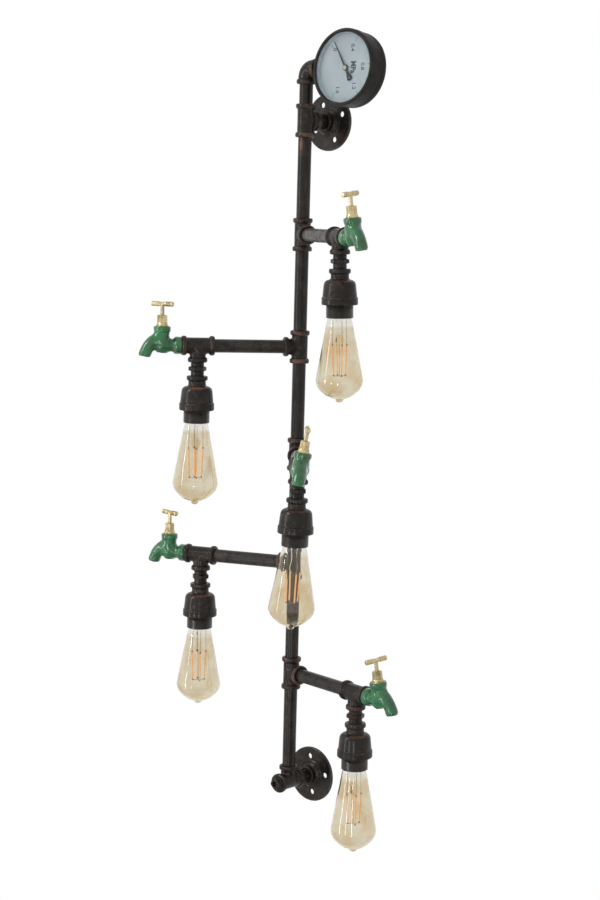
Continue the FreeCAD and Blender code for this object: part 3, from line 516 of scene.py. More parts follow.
class Graph:
    """A material's or a group's nodes, with short calls for adding and linking them."""

    def __init__(self, tree: bpy.types.NodeTree) -> None:
        """Keeps the node tree to work on."""
        self.tree = tree
        self.where: bpy.types.NodeSocket | None = None

    def add(self, kind: str, settings: dict | None = None, **inputs: object) -> bpy.types.Node:
        """Adds a node.

        Args:
            kind: The node's type, without its ShaderNode beginning.
            settings: Properties of the node itself.
            **inputs: Values or sockets for its inputs, by name with underscores for spaces, or
                by number as in i0.

        Returns:
            The node.
        """
        node = self.tree.nodes.new("ShaderNode" + kind)
        for key, value in (settings or {}).items():
            setattr(node, key, value)
        for key, value in inputs.items():
            numbered = key[0] == "i" and key[1:].isdigit()
            socket = node.inputs[int(key[1:]) if numbered else key.replace("_", " ")]
            if isinstance(value, bpy.types.NodeSocket):
                self.tree.links.new(value, socket)
            else:
                socket.default_value = value
        return node

    def feed(self, value: bpy.types.NodeSocket, shader: bpy.types.Node, name: str) -> None:
        """Links a value to one of the shader's inputs."""
        self.tree.links.new(value, shader.inputs[name])

    @staticmethod
    def plain(shader: bpy.types.Node, **values: object) -> None:
        """Sets the shader's own sockets, by name with underscores for spaces."""
        for key, value in values.items():
            shader.inputs[key.replace("_", " ")].default_value = value

    def noise(self, scale: float, detail: float = 3.0,
              where: bpy.types.NodeSocket | None = None) -> bpy.types.NodeSocket:
        """Returns a noise over the piece's own coordinates, or over the given ones."""
        node = self.add("TexNoise", Vector=where or self.where, Scale=scale, Detail=detail)
        return node.outputs["Fac"]

    def ramp(self, value: bpy.types.NodeSocket, low: float, high: float,
             top: float = 1.0) -> bpy.types.NodeSocket:
        """Returns a value's smooth step from 0 at low to the top at high.

        Args:
            value: The value to step.
            low: Where the step starts.
            high: Where it ends.
            top: The step's upper level.

        Returns:
            The stepped value.
        """
        node = self.add("MapRange", {"interpolation_type": "SMOOTHSTEP"}, Value=value,
                        From_Min=low, From_Max=high, To_Max=top)
        return node.outputs["Result"]

    def between(self, scale: float, low: float, high: float) -> bpy.types.NodeSocket:
        """Returns a noise that wanders between two values.

        Args:
            scale: The noise's scale.
            low: The lower value.
            high: The higher value.

        Returns:
            The wandering value.
        """
        node = self.add("MapRange", Value=self.noise(scale, 4.0), From_Min=0.3, From_Max=0.7,
                        To_Min=low, To_Max=high)
        return node.outputs["Result"]

    def mark(self, name: str) -> bpy.types.NodeSocket:
        """Returns the value of one of the mesh's marks, 0 where it has none."""
        return self.add("Attribute", {"attribute_name": name}).outputs["Fac"]

    def maths(self, operation: str, a: object, b: object) -> bpy.types.NodeSocket:
        """Returns the result of one sum."""
        return self.add("Math", {"operation": operation}, i0=a, i1=b).outputs[0]

    def mix(self, share: object, a: object, b: object) -> bpy.types.NodeSocket:
        """Returns colour a turned into colour b by a share."""
        return self.add("Mix", {"data_type": "RGBA"}, i0=share, i6=a, i7=b).outputs[2]

    def bump(self, height: bpy.types.NodeSocket, distance: float) -> bpy.types.NodeSocket:
        """Returns a normal bumped by a height."""
        return self.add("Bump", Height=height, Distance=distance).outputs["Normal"]


def new_group(name: str, inputs: dict[str, float], output: str) -> tuple[Graph, dict, Callable]:
    """Starts a shader node group with a Where vector, some values and one value out.

    Args:
        name: The group's name.
        inputs: The values' names and what they are when nothing is given.
        output: The output's name.

    Returns:
        The group's graph, its inputs inside the group, and a call that links the output.
    """
    tree = bpy.data.node_groups.new(name, "ShaderNodeTree")
    tree.interface.new_socket("Where", in_out="INPUT", socket_type="NodeSocketVector")
    for key, value in inputs.items():
        socket = tree.interface.new_socket(key, in_out="INPUT", socket_type="NodeSocketFloat")
        socket.default_value = value
    tree.interface.new_socket(output, in_out="OUTPUT", socket_type="NodeSocketFloat")
    graph = Graph(tree)
    given = tree.nodes.new("NodeGroupInput").outputs
    graph.where = given["Where"]
    end = tree.nodes.new("NodeGroupOutput")
    return graph, given, lambda value: tree.links.new(value, end.inputs[output])


@lru_cache(maxsize=None)
def edge_rub_group() -> bpy.types.NodeTree:
    """Makes the group that finds rubbed edges.

    Pointiness is above a half on outward edges. A noise breaks it up, and a smooth step from
    Low to High makes the mask.

    Returns:
        The group's node tree.
    """
    graph, given, finish = new_group(
        "edge_rub", {"Low": 0.52, "High": 0.6, "Patch Scale": 120.0, "Patch Amount": 0.08}, "Mask")
    noise = graph.noise(given["Patch Scale"], 4.0)
    patch = graph.maths("MULTIPLY", graph.maths("SUBTRACT", noise, 0.5), given["Patch Amount"])
    point = graph.add("NewGeometry").outputs["Pointiness"]
    finish(graph.ramp(graph.maths("ADD", point, patch), given["Low"], given["High"]))
    return graph.tree


@lru_cache(maxsize=None)
def cast_skin_group() -> bpy.types.NodeTree:
    """Makes the group for a cast or dipped skin: broad swells plus fine grain, as one height.

    Returns:
        The group's node tree.
    """
    graph, given, finish = new_group(
        "cast_skin", {"Swell Scale": 150.0, "Grain Scale": 900.0, "Grain Share": 0.3}, "Height")
    swell = graph.noise(given["Swell Scale"], 2.0)
    grain = graph.noise(given["Grain Scale"], 3.0)
    finish(graph.maths("ADD", swell, graph.maths("MULTIPLY", grain, given["Grain Share"])))
    return graph.tree


Colour = tuple[float, float, float, float]


@dataclass(frozen=True)
class Finish:
    """A named finish, which makes its material when first asked for.

    A piece's finish reads the own attribute, which moves and turns with the piece; a kept CAD
    node has none, so its finish reads Object coordinates.
    """

    name: str
    kept: bool = False

    def dress(self, graph: Graph, shader: bpy.types.Node) -> None:
        """Sets the shader's inputs and adds the nodes that feed them.

        Args:
            graph: The material's nodes.
            shader: Its Principled shader.
        """
        raise NotImplementedError

    @lru_cache(maxsize=None)
    def material(self) -> bpy.types.Material:
        """Returns the finish's material, made once.

        Returns:
            The material.
        """
        made = bpy.data.materials.new(self.name)
        made.use_nodes = True
        graph = Graph(made.node_tree)
        if self.kept:
            graph.where = graph.add("TexCoord").outputs["Object"]
        else:
            graph.where = graph.add("Attribute", {"attribute_name": "own"}).outputs["Vector"]
        self.dress(graph, made.node_tree.nodes["Principled BSDF"])
        return made


@dataclass(frozen=True)
class WaxedIron(Finish):
    """Blackened, waxed iron: dark, with brown streaks, grey specks and coppery rubbed places.

    The rub mark says where hands and spanners have been. A second mark turns the surface coppery:
    a worn spot on the pipe under the top tee, and a painted coppery highlight on each bell's shoulder,
    on the side that faces the camera. The pale mark paints light in as a lighter grey: over the arm
    pipes, for the light that falls on them, and as a highlight along a flange's outer edge.
    """

    dark: Colour = (0.011, 0.0095, 0.008, 1.0)
    warm: Colour = (0.034, 0.023, 0.017, 1.0)
    brown: Colour = (0.085, 0.043, 0.028, 1.0)
    grey: Colour = (0.085, 0.078, 0.068, 1.0)
    # Painted light: the lighter grey that the pale mark mixes in.
    faded: Colour = (0.110, 0.103, 0.092, 1.0)
    rubbed: Colour = (0.120, 0.066, 0.046, 1.0)
    copper: Colour = (0.240, 0.105, 0.070, 1.0)
    stretch: float = 1.0
    smooth: float = 0.38
    rough: float = 0.56
    swell: float = 0.00025
    gloss: float = 0.08

    def dress(self, graph: Graph, shader: bpy.types.Node) -> None:
        """Mixes the skin from noises, rubs it where it is marked and bumps the cast surface.

        Args:
            graph: The material's nodes.
            shader: Its Principled shader.
        """
        along = graph.add("Mapping", Vector=graph.where, Scale=(1.0, 1.0, self.stretch))
        base = graph.mix(graph.ramp(graph.noise(60.0), 0.45, 0.72), self.dark, self.warm)
        streak = graph.noise(140.0, 4.0, where=along.outputs["Vector"])
        base = graph.mix(graph.ramp(streak, 0.54, 0.74, 0.6), base, self.brown)
        base = graph.mix(graph.ramp(graph.noise(900.0, 2.0), 0.60, 0.74, 0.55), base, self.grey)
        # Painted light: where the pale mark is set, clouds of this lighter grey stand in for light on the
        # surface.
        cloud = graph.ramp(graph.noise(110.0, 4.0), 0.30, 0.60)
        pale = graph.maths("MULTIPLY", graph.mark("pale"), cloud)
        base = graph.mix(pale, base, self.faded)
        edge = graph.add("Group", {"node_tree": edge_rub_group()}, Where=graph.where).outputs["Mask"]
        rub = graph.maths("MAXIMUM", graph.mark("rub"), graph.maths("MULTIPLY", edge, 0.5))
        worn = graph.maths("MULTIPLY", rub, graph.ramp(graph.noise(55.0, 4.0), 0.46, 0.66))
        base = graph.mix(worn, base, self.rubbed)
        # Copper shows on a worn spot, and as a painted highlight on the bells' shoulders.
        graph.feed(graph.mix(graph.mark("bare_and_sheen"), base, self.copper), shader, "Base Color")
        graph.feed(graph.between(90.0, self.smooth, self.rough), shader, "Roughness")
        skin = graph.add("Group", {"node_tree": cast_skin_group()}, Where=graph.where)
        graph.feed(graph.bump(skin.outputs["Height"], self.swell), shader, "Normal")
        graph.plain(shader, Specular_IOR_Level=self.gloss, Coat_Weight=0.3, Coat_Roughness=0.2)


@dataclass(frozen=True)
class GreenEnamel(Finish):
    """Brushed-on green enamel over a rough casting, thin and olive brown in places."""

    green: Colour = (0.014, 0.172, 0.050, 1.0)
    deep: Colour = (0.008, 0.100, 0.030, 1.0)
    brown: Colour = (0.060, 0.075, 0.025, 1.0)

    def dress(self, graph: Graph, shader: bpy.types.Node) -> None:
        """Mottles the green, lets brown through in patches and coats it with gloss.

        Args:
            graph: The material's nodes.
            shader: Its Principled shader.
        """
        base = graph.mix(graph.ramp(graph.noise(75.0), 0.38, 0.64), self.deep, self.green)
        thin = graph.ramp(graph.noise(48.0, 4.0), 0.56, 0.70, 0.8)
        graph.feed(graph.mix(thin, base, self.brown), shader, "Base Color")
        graph.feed(graph.between(160.0, 0.24, 0.44), shader, "Roughness")
        skin = graph.add("Group", {"node_tree": cast_skin_group()}, Where=graph.where,
                         Swell_Scale=230.0, Grain_Scale=1100.0, Grain_Share=0.12)
        graph.feed(graph.bump(skin.outputs["Height"], 0.0007), shader, "Normal")
        graph.plain(shader, Specular_IOR_Level=0.2, Coat_Weight=0.9, Coat_Roughness=0.16)


@dataclass(frozen=True)
class TurnedBrass(Finish):
    """Turned brass, a little dull, with tool marks along its profile and painted shade in its hollows."""

    bright: Colour = (0.54, 0.445, 0.250, 1.0)
    dull: Colour = (0.32, 0.258, 0.132, 1.0)
    # Painted shade: the dark brown that the hollows turn to.
    hollow: Colour = (0.13, 0.085, 0.038, 1.0)

    def dress(self, graph: Graph, shader: bpy.types.Node) -> None:
        """Dulls the metal in patches, darkens its hollows as painted shade and rings it with marks
        read from the rail.

        Args:
            graph: The material's nodes.
            shader: Its Principled shader.
        """
        patch = graph.ramp(graph.noise(90.0, 3.0), 0.42, 0.72)
        base = graph.mix(patch, self.bright, self.dull)
        point = graph.add("NewGeometry").outputs["Pointiness"]
        # Painted shade: where pointiness falls below a half, in the hollows, the metal turns dark brown.
        base = graph.mix(graph.ramp(point, 0.485, 0.42), base, self.hollow)
        graph.feed(base, shader, "Base Color")
        graph.feed(graph.between(260.0, 0.24, 0.38), shader, "Roughness")
        marks = graph.add("TexNoise", {"noise_dimensions": "1D"}, W=graph.mark("rail"), Scale=3.0,
                          Detail=2.0).outputs["Fac"]
        graph.feed(graph.bump(marks, 0.000015), shader, "Normal")
        graph.plain(shader, Metallic=1.0)


@dataclass(frozen=True)
class SatinEnamel(Finish):
    """Satin black enamel with a faint brownish bloom."""

    black: Colour = (0.019, 0.0185, 0.017, 1.0)
    bloom: Colour = (0.038, 0.036, 0.033, 1.0)

    def dress(self, graph: Graph, shader: bpy.types.Node) -> None:
        """Clouds the black and breaks its gloss with a fine grain.

        Args:
            graph: The material's nodes.
            shader: Its Principled shader.
        """
        cloud = graph.ramp(graph.noise(45.0, 4.0), 0.4, 0.75)
        graph.feed(graph.mix(cloud, self.black, self.bloom), shader, "Base Color")
        graph.feed(graph.between(120.0, 0.34, 0.52), shader, "Roughness")
        graph.feed(graph.bump(graph.noise(900.0, 2.0), 0.00001), shader, "Normal")
        graph.plain(shader, Specular_IOR_Level=0.10)


@dataclass(frozen=True)
class WindowGlass(Finish):
    """Flat clear glass with a slightly clouded tint.

    It bends light less than real glass, so that it mirrors the lamps only faintly.
    """

    tint: Colour = (0.93, 0.95, 0.96, 1.0)
    bending: float = 1.15

    def dress(self, graph: Graph, shader: bpy.types.Node) -> None:
        """Sets plain transmission and clouds the tint.

        Args:
            graph: The material's nodes.
            shader: Its Principled shader.
        """
        paler = tuple(min(1.0, part * 1.04) for part in self.tint[:3]) + (1.0,)
        cloud = graph.ramp(graph.noise(30.0, 2.0), 0.4, 0.7)
        graph.feed(graph.mix(cloud, self.tint, paler), shader, "Base Color")
        graph.plain(shader, Roughness=0.0, IOR=self.bending, Transmission_Weight=1.0)


@dataclass(frozen=True)
class AmberGlass(Finish):
    """Amber-tinted bulb glass with a clear neck.

    The tint mark is 0 at the clear neck and 1 in the tinted part. The tint is deeper in some
    clouds and where the wall is seen at a grazing angle.
    """

    clear: Colour = (0.870, 0.860, 0.820, 1.0)
    amber: Colour = (0.812, 0.770, 0.665, 1.0)
    deeper: Colour = (0.715, 0.575, 0.355, 1.0)
    bending: float = 1.45

    def dress(self, graph: Graph, shader: bpy.types.Node) -> None:
        """Mixes the clear, the amber and the deeper glass.

        Args:
            graph: The material's nodes.
            shader: Its Principled shader.
        """
        cloud = graph.ramp(graph.noise(30.0, 2.0), 0.46, 0.68, 0.6)
        edge = graph.add("LayerWeight", Blend=0.25).outputs["Facing"]
        deep = graph.maths("MAXIMUM", cloud, graph.ramp(edge, 0.2, 0.9, 0.8))
        amber = graph.mix(deep, self.amber, self.deeper)
        graph.feed(graph.mix(graph.mark("tint"), self.clear, amber), shader, "Base Color")
        graph.plain(shader, Roughness=0.0, IOR=self.bending, Transmission_Weight=1.0)


@dataclass(frozen=True)
class Phosphor(Finish):
    """Orange phosphor of a filament, with a little painted glow."""

    colour: Colour = (0.85, 0.45, 0.20, 1.0)
    pale: Colour = (0.95, 0.62, 0.32, 1.0)
    painted_glow: float = 0.45

    def dress(self, graph: Graph, shader: bpy.types.Node) -> None:
        """Grains the phosphor and paints a soft glow on it, for lamp light that the glass keeps out.

        Args:
            graph: The material's nodes.
            shader: Its Principled shader.
        """
        colour = graph.mix(graph.ramp(graph.noise(600.0, 2.0), 0.4, 0.7), self.colour, self.pale)
        graph.feed(colour, shader, "Base Color")
        # Painted light: the filament glows, though the bulb isn't lit.
        graph.feed(colour, shader, "Emission Color")
        graph.plain(shader, Emission_Strength=self.painted_glow, Roughness=0.6)


@dataclass(frozen=True)
class Painted(Finish):
    """A plain paint, print or sheath in one main colour with a faint grain."""

    colour: Colour = (0.5, 0.5, 0.5, 1.0)
    other: Colour = (0.45, 0.45, 0.45, 1.0)
    grain: float = 80.0
    rough: float = 0.5

    def dress(self, graph: Graph, shader: bpy.types.Node) -> None:
        """Clouds the colour and varies the roughness a little.

        Args:
            graph: The material's nodes.
            shader: Its Principled shader.
        """
        cloud = graph.ramp(graph.noise(self.grain, 4.0), 0.35, 0.7)
        graph.feed(graph.mix(cloud, self.colour, self.other), shader, "Base Color")
        graph.feed(graph.between(self.grain * 3, self.rough - 0.06, self.rough + 0.06), shader,
                   "Roughness")


IRON = WaxedIron("waxed_iron")
PIPE = WaxedIron("waxed_pipe", stretch=0.12, smooth=0.34, rough=0.5, swell=0.00008)
HOLDER = WaxedIron("holder_thread", kept=True, dark=(0.013, 0.011, 0.009, 1.0),
                   warm=(0.030, 0.021, 0.016, 1.0), brown=(0.05, 0.031, 0.022, 1.0), swell=0.00003,
                   smooth=0.30, rough=0.42, gloss=0.2)
DARK_STEM = WaxedIron("blackened_stem", kept=True)
ENAMEL = GreenEnamel("tap_enamel")
BRASS = TurnedBrass("turned_brass")
WORKS = TurnedBrass("brass_works", kept=True)
CASE = SatinEnamel("satin_black")
WINDOW = WindowGlass("gauge_window_glass")
BULB = AmberGlass("amber_bulb_glass")
STEM_GLASS = AmberGlass("stem_glass", clear=(0.97, 0.97, 0.96, 1.0), amber=(0.93, 0.85, 0.70, 1.0),
                        deeper=(0.86, 0.74, 0.55, 1.0), bending=1.05)
FILAMENT = Phosphor("filament_painted_glow")
DIAL = Painted("dial_paint", colour=(0.49, 0.55, 0.57, 1.0), other=(0.44, 0.50, 0.52, 1.0), grain=30.0)
SPACER = Painted("spacer_paint", colour=(0.42, 0.48, 0.50, 1.0), other=(0.50, 0.56, 0.58, 1.0))
INK = Painted("dial_ink", colour=(0.04, 0.045, 0.05, 1.0), other=(0.06, 0.065, 0.07, 1.0), grain=300.0)
FINE_INK = Painted("fine_ink", colour=(0.16, 0.20, 0.23, 1.0), other=(0.22, 0.26, 0.29, 1.0), grain=300.0)
CREAM = Painted("cream_cap", colour=(0.58, 0.55, 0.38, 1.0), other=(0.52, 0.48, 0.32, 1.0), grain=200.0)
SHEATH = Painted("wiring_sheath", kept=True, colour=(0.02, 0.02, 0.02, 1.0),
                 other=(0.035, 0.035, 0.035, 1.0))
WIRE = Painted("support_wire", colour=(0.24, 0.21, 0.17, 1.0), other=(0.34, 0.30, 0.25, 1.0), rough=0.35)


class Slot(Enum):
    """The record's material slots."""

    IRON = "black_iron"
    PIPE = "pipe_steel"
    BRASS = "brass"
    CASE = "case_enamel"
    CLEAR = "clear_glass"
    DIAL = "dial_white"
    POINTER = "pointer_black"
    AMBER = "amber_glass"
    GREEN = "green_enamel"


def add_piece(name: str, shape: Shape, place: np.ndarray, body: str, slot: Slot, finish: Finish,
              replaces: Sequence[str] = (), marks: Marks | None = None) -> bpy.types.Object:
    """Makes a piece of the lamp and ties it to its body.

    The own attribute keeps each point's place in the piece's own frame, moved by an amount
    that comes from the piece's name, so that copies of a shape wear differently.

    Args:
        name: The piece's name.
        shape: Its surface in its own frame.
        place: Where that frame stands in the lamp.
        body: The CAD body that it rides on.
        slot: The record's material slot; not used.
        finish: Its finish.
        replaces: CAD nodes that it stands for.
        marks: Values for each point, kept as attributes.

    Returns:
        The piece's object.
    """
    placed = shape.placed(place)
    faces = placed.faces
    repeated = faces == np.roll(faces, -1, axis=1)
    four = ~repeated.any(axis=1)
    keep = np.ones_like(faces, dtype=bool)
    keep[np.arange(len(faces)), repeated.argmax(axis=1)] = four
    three = faces[~four][keep[~four]].reshape(-1, 3)
    mesh = bpy.data.meshes.new(name)
    mesh.from_pydata((placed.points * MM).tolist(), [], faces[four].tolist() + three.tolist())
    mesh.polygons.foreach_set("use_smooth", np.ones(len(mesh.polygons), dtype=bool))
    own = (shape.points + sum(name.encode()) % 97 * 13.0) * MM
    mesh.attributes.new("own", "FLOAT_VECTOR", "POINT").data.foreach_set("vector", own.ravel())
    for key, values in {"rail": placed.rail, **(marks or {})}.items():
        mesh.attributes.new(key, "FLOAT", "POINT").data.foreach_set("value", values.astype(np.float32))
    mesh.materials.append(finish.material())
    piece = bpy.data.objects.new(name, mesh)
    bpy.context.scene.collection.objects.link(piece)
    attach(piece, body)
    if replaces:
        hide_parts(*replaces)
    LOG.info("%s: %d faces, on %s", name, len(mesh.polygons), body)
    return piece


def even_normals(piece: bpy.types.Object) -> None:
    """Weights a piece's normals by face area, so that its wide faces look flat."""
    piece.modifiers.new("even_normals", "WEIGHTED_NORMAL").keep_sharp = True


# Pipe fittings


@dataclass(frozen=True)
class Fitting:
    """Sizes that the beaded malleable fittings share."""

    reach: float = 23.5
    barrel: float = 11.5
    rim: float = 14.0
    rim_width: float = 6.0
    cell: float = 0.75

    def leg(self, reach: float, low: float) -> np.ndarray:
        """Returns the outline of one leg, from a height near the centre to its face.

        The rim is a rounded band with a soft hollow behind it.

        Args:
            reach: How far the leg's face is from the centre.
            low: The height at which the outline starts.

        Returns:
            The outline's radii and heights.
        """
        rim_in = reach - self.rim_width
        return np.array([
            (0.0, low), (self.barrel, low), (self.barrel, rim_in - 1.6), (self.rim - 0.5, rim_in),
            (self.rim, rim_in + 1.2), (self.rim, reach - 1.3), (self.rim - 1.3, reach), (0.0, reach)])

    def socket_outline(self, reach: float, low: float = 0.0) -> np.ndarray:
        """Returns the outline of a leg's threaded socket and of the waterway behind it.

        Args:
            reach: How far the leg's face is from the centre.
            low: The height at which the outline starts.

        Returns:
            The outline's radii and heights.
        """
        shoulder, socket = reach - 10.5, LAYOUT.socket
        return np.array([(0.0, low), (LAYOUT.bore, low), (LAYOUT.bore, shoulder), (socket, shoulder),
                         (socket, reach + 2.0), (0.0, reach + 2.0)])

    def rim_rub(self, points: np.ndarray, direction: Sequence[float], reach: float) -> np.ndarray:
        """Returns how rubbed each point is: 1 on the outer part of the rim at a leg's end.

        Args:
            points: The fitting's points.
            direction: The leg's direction.
            reach: How far the leg's face is from the centre.

        Returns:
            The rub at each point.
        """
        along = points @ np.array(direction)
        out = np.sqrt(np.maximum((points ** 2).sum(axis=1) - along ** 2, 0.0))
        edge = smooth_step(out, self.rim - 2.0, self.rim - 0.5)
        return edge * smooth_step(along, reach - self.rim_width - 1.5, reach - self.rim_width)


@dataclass(frozen=True)
class Tee(Fitting):
    """A beaded tee: the run along z and the branch along x."""

    def shape(self) -> Shape:
        """Grows the run and the branch together with a fillet and bores them out.

        Returns:
            The tee's shape.
        """
        leg = self.leg(self.reach, 0.0)
        run = np.concatenate([leg[1:], (leg[1:] * (1.0, -1.0))[::-1]])
        socket = self.socket_outline(self.reach)
        bore = np.concatenate([socket[1:], (socket[1:] * (1.0, -1.0))[::-1]])

        def field(points: np.ndarray) -> np.ndarray:
            """Signed distance to the tee.

            Args:
                points: The points of space.

            Returns:
                The signed distances.
            """
            outer = blended(turned_field(points, run, Axis.Z), turned_field(points, leg, Axis.X), 3.0)
            inner = np.minimum(turned_field(points, bore, Axis.Z), turned_field(points, socket, Axis.X))
            return cut_away(outer, inner)

        edge = self.rim + 1.5
        return carved(field, (-edge, -edge, -self.reach - 1.5), (self.reach + 1.5, edge, self.reach + 1.5),
                      self.cell)

    def marks(self, shape: Shape) -> Marks:
        """Returns the rub at the three rims."""
        ends = ((0.0, 0.0, 1.0), (0.0, 0.0, -1.0), (1.0, 0.0, 0.0))
        return {"rub": sum(self.rim_rub(shape.points, end, self.reach) for end in ends)}


@lru_cache(maxsize=None)
def tee_parts() -> tuple[Shape, Marks]:
    """Returns the tee's shape and its marks, worked out once.

    Returns:
        The shape and the marks.
    """
    tee = Tee()
    shape = tee.shape()
    return shape, tee.marks(shape)


@dataclass(frozen=True)
class Elbow(Fitting):
    """A beaded elbow: one leg down, the other nearly level along x, and a round bend between."""

    elbow_reach: float = 22.0
    bend: float = 12.5

    def shape(self) -> Shape:
        """Grows two legs and a quarter bend together and bores them out.

        Returns:
            The elbow's shape.
        """
        leg = self.leg(self.elbow_reach, self.bend - 0.5)
        socket = self.socket_outline(self.elbow_reach, self.bend - 0.5)
        to_level = turn(Axis.Y, -LAYOUT.gauge_droop)[:3, :3]

        def field(points: np.ndarray) -> np.ndarray:
            """Signed distance to the elbow.

            Args:
                points: The points of space.

            Returns:
                The signed distances.
            """
            down = points * (1.0, 1.0, -1.0)
            level = points @ to_level.T
            legs = np.minimum(turned_field(down, leg, Axis.Z), turned_field(level, leg, Axis.X))
            # The bend turns from the downward leg at 180 degrees to the level one at 90.
            mirrored = points * (-1.0, 1.0, 1.0)
            centre = (-self.bend, -self.bend)
            bend = bend_field(mirrored, centre, self.bend, self.barrel, 0.0, 90.0)
            hollow = bend_field(mirrored, centre, self.bend, LAYOUT.bore, 0.0, 90.0)
            inner = np.minimum(turned_field(down, socket, Axis.Z), turned_field(level, socket, Axis.X))
            return cut_away(blended(legs, bend, 1.5), np.minimum(inner, hollow))

        edge = self.rim + 1.5
        return carved(field, (-edge, -edge, -self.elbow_reach - 1.5),
                      (self.elbow_reach + 1.5, edge, edge), self.cell)

    def marks(self, shape: Shape) -> Marks:
        """Returns the rub at the two rims."""
        ends = ((0.0, 0.0, -1.0), (1.0, 0.0, 0.0))
        return {"rub": 0.5 * sum(self.rim_rub(shape.points, end, self.elbow_reach) for end in ends)}


@dataclass(frozen=True)
class WallFlange:
    """A round wall flange: back face at z = 0, hub towards +z, four holes on a circle."""

    radius: float = 40.75
    thickness: float = 4.0
    hub: float = 13.5
    hole_circle: float = 27.0
    hole: float = 4.0
    holes: int = 4
    cell: float = 0.7

    def shape(self) -> Shape:
        """Turns the plate, the beads round its hub and the hub's rim, and drills the holes.

        Returns:
            The flange's shape.
        """
        top, low = LAYOUT.hub_height, self.thickness
        outline = eased([
            (0.0, 0.0), (self.radius, 0.0), (self.radius, low), (21.0, low), (20.4, low + 0.8),
            (19.0, low + 0.8), (18.4, low + 0.1), (17.6, low + 0.1), (16.9, low + 1.4),
            (15.6, low + 1.6), (self.hub - 0.5, low + 3.6), (self.hub - 0.5, top - 4.4),
            (self.hub + 0.4, top - 3.6), (self.hub + 0.4, top - 0.9), (self.hub - 0.6, top),
            (0.0, top)], 1.0)
        bore = np.array([(0.0, -2.0), (LAYOUT.bore, -2.0), (LAYOUT.bore, top - 10.5),
                         (LAYOUT.socket, top - 10.5), (LAYOUT.socket, top + 2.0), (0.0, top + 2.0)])

        def field(points: np.ndarray) -> np.ndarray:
            """Signed distance to the flange.

            Args:
                points: The points of space.

            Returns:
                The signed distances.
            """
            step = 2 * np.pi / self.holes
            angle = np.arctan2(points[:, 1], points[:, 0])
            folded = (angle + step / 2) % step - step / 2
            distance = np.hypot(points[:, 0], points[:, 1])
            across = np.hypot(distance * np.cos(folded) - self.hole_circle, distance * np.sin(folded))
            holes = np.minimum(across - self.hole, turned_field(points, bore, Axis.Z))
            return cut_away(turned_field(points, outline, Axis.Z), holes, 0.8)

        edge = self.radius + 1.5
        return carved(field, (-edge, -edge, -1.5), (edge, edge, top + 1.5), self.cell)

    def marks(self, shape: Shape) -> Marks:
        """Returns a painted highlight along the outer edge, as a lighter grey, and a little rub on the
        hub's rim.

        Args:
            shape: The flange.

        Returns:
            The marks.
        """
        out = np.hypot(shape.points[:, 0], shape.points[:, 1])
        rim = smooth_step(shape.points[:, 2], LAYOUT.hub_height - 4.0, LAYOUT.hub_height - 1.0)
        # Painted highlight: the pale mark lightens the plate's outer edge.
        return {"pale": smooth_step(out, self.radius - 3.0, self.radius - 0.5) * 0.45, "rub": rim * 0.2}


@dataclass(frozen=True)
class HexNipple:
    """Nipple with a hexagon; its origin is the end tee's centre and it runs towards -z."""

    top: float = 13.5
    hexagon_top: float = 29.5
    hexagon_bottom: float = 36.0
    bottom: float = 53.0
    across_flats: float = 22.5
    pitch: float = 1.81
    depth: float = 0.35
    columns: int = 96

    def shape(self) -> Shape:
        """Turns the barrel with the hexagon's chamfers and trims it to the flats.

        Where the barrel shows, a thread climbs one pitch for each turn round the axis.

        Returns:
            The nipple's shape.
        """
        radius, bore, flat = LAYOUT.pipe, LAYOUT.bore, self.across_flats / 2
        corner = flat / math.cos(math.radians(30.0))
        high, low = -23.5, -43.0
        line = eased([
            (bore, -self.top), (radius, -self.top), (radius, high), (radius, -self.hexagon_top),
            (flat - 0.6, -self.hexagon_top), (corner, -self.hexagon_top - 1.1),
            (corner, -self.hexagon_bottom + 1.1), (flat - 0.6, -self.hexagon_bottom),
            (radius, -self.hexagon_bottom), (radius, low), (radius, -self.bottom),
            (bore, -self.bottom)], 0.35, closed=True, steps=3)
        middle = (line[1:] + line[:-1]) / 2
        seen = (np.abs(middle[:, 0] - radius) < 0.3) & (middle[:, 1] < high) & (middle[:, 1] > low)
        outline = filled(line, np.where(seen, 0.3, 1.5))
        turns = np.linspace(0.0, 1.0, self.columns, endpoint=False)
        wave = 0.5 - 0.5 * np.cos(2 * np.pi * (outline[:, 1:] / self.pitch - turns[None, :]))
        barrel = smooth_step(-np.abs(outline[:, :1] - radius), -0.3, 0.0)
        shown = barrel * (smooth_step(-outline[:, 1:], -high - 1.0, -high)
                          * smooth_step(outline[:, 1:], low - 1.0, low))
        return turned(outline, self.columns, closed=True, ripple=-self.depth * wave * shown,
                      limit=hexagon_reach(self.columns, self.across_flats))


def tube(length: float) -> Shape:
    """Turns a straight pipe along z, centred on the origin, with eased ends.

    Args:
        length: The pipe's length.

    Returns:
        The pipe's shape.
    """
    half = length / 2
    line = [(LAYOUT.bore, -half), (LAYOUT.pipe, -half), (LAYOUT.pipe, half), (LAYOUT.bore, half)]
    return lathed(line, 0.4, 64, step=6.0, closed=True, steps=2)


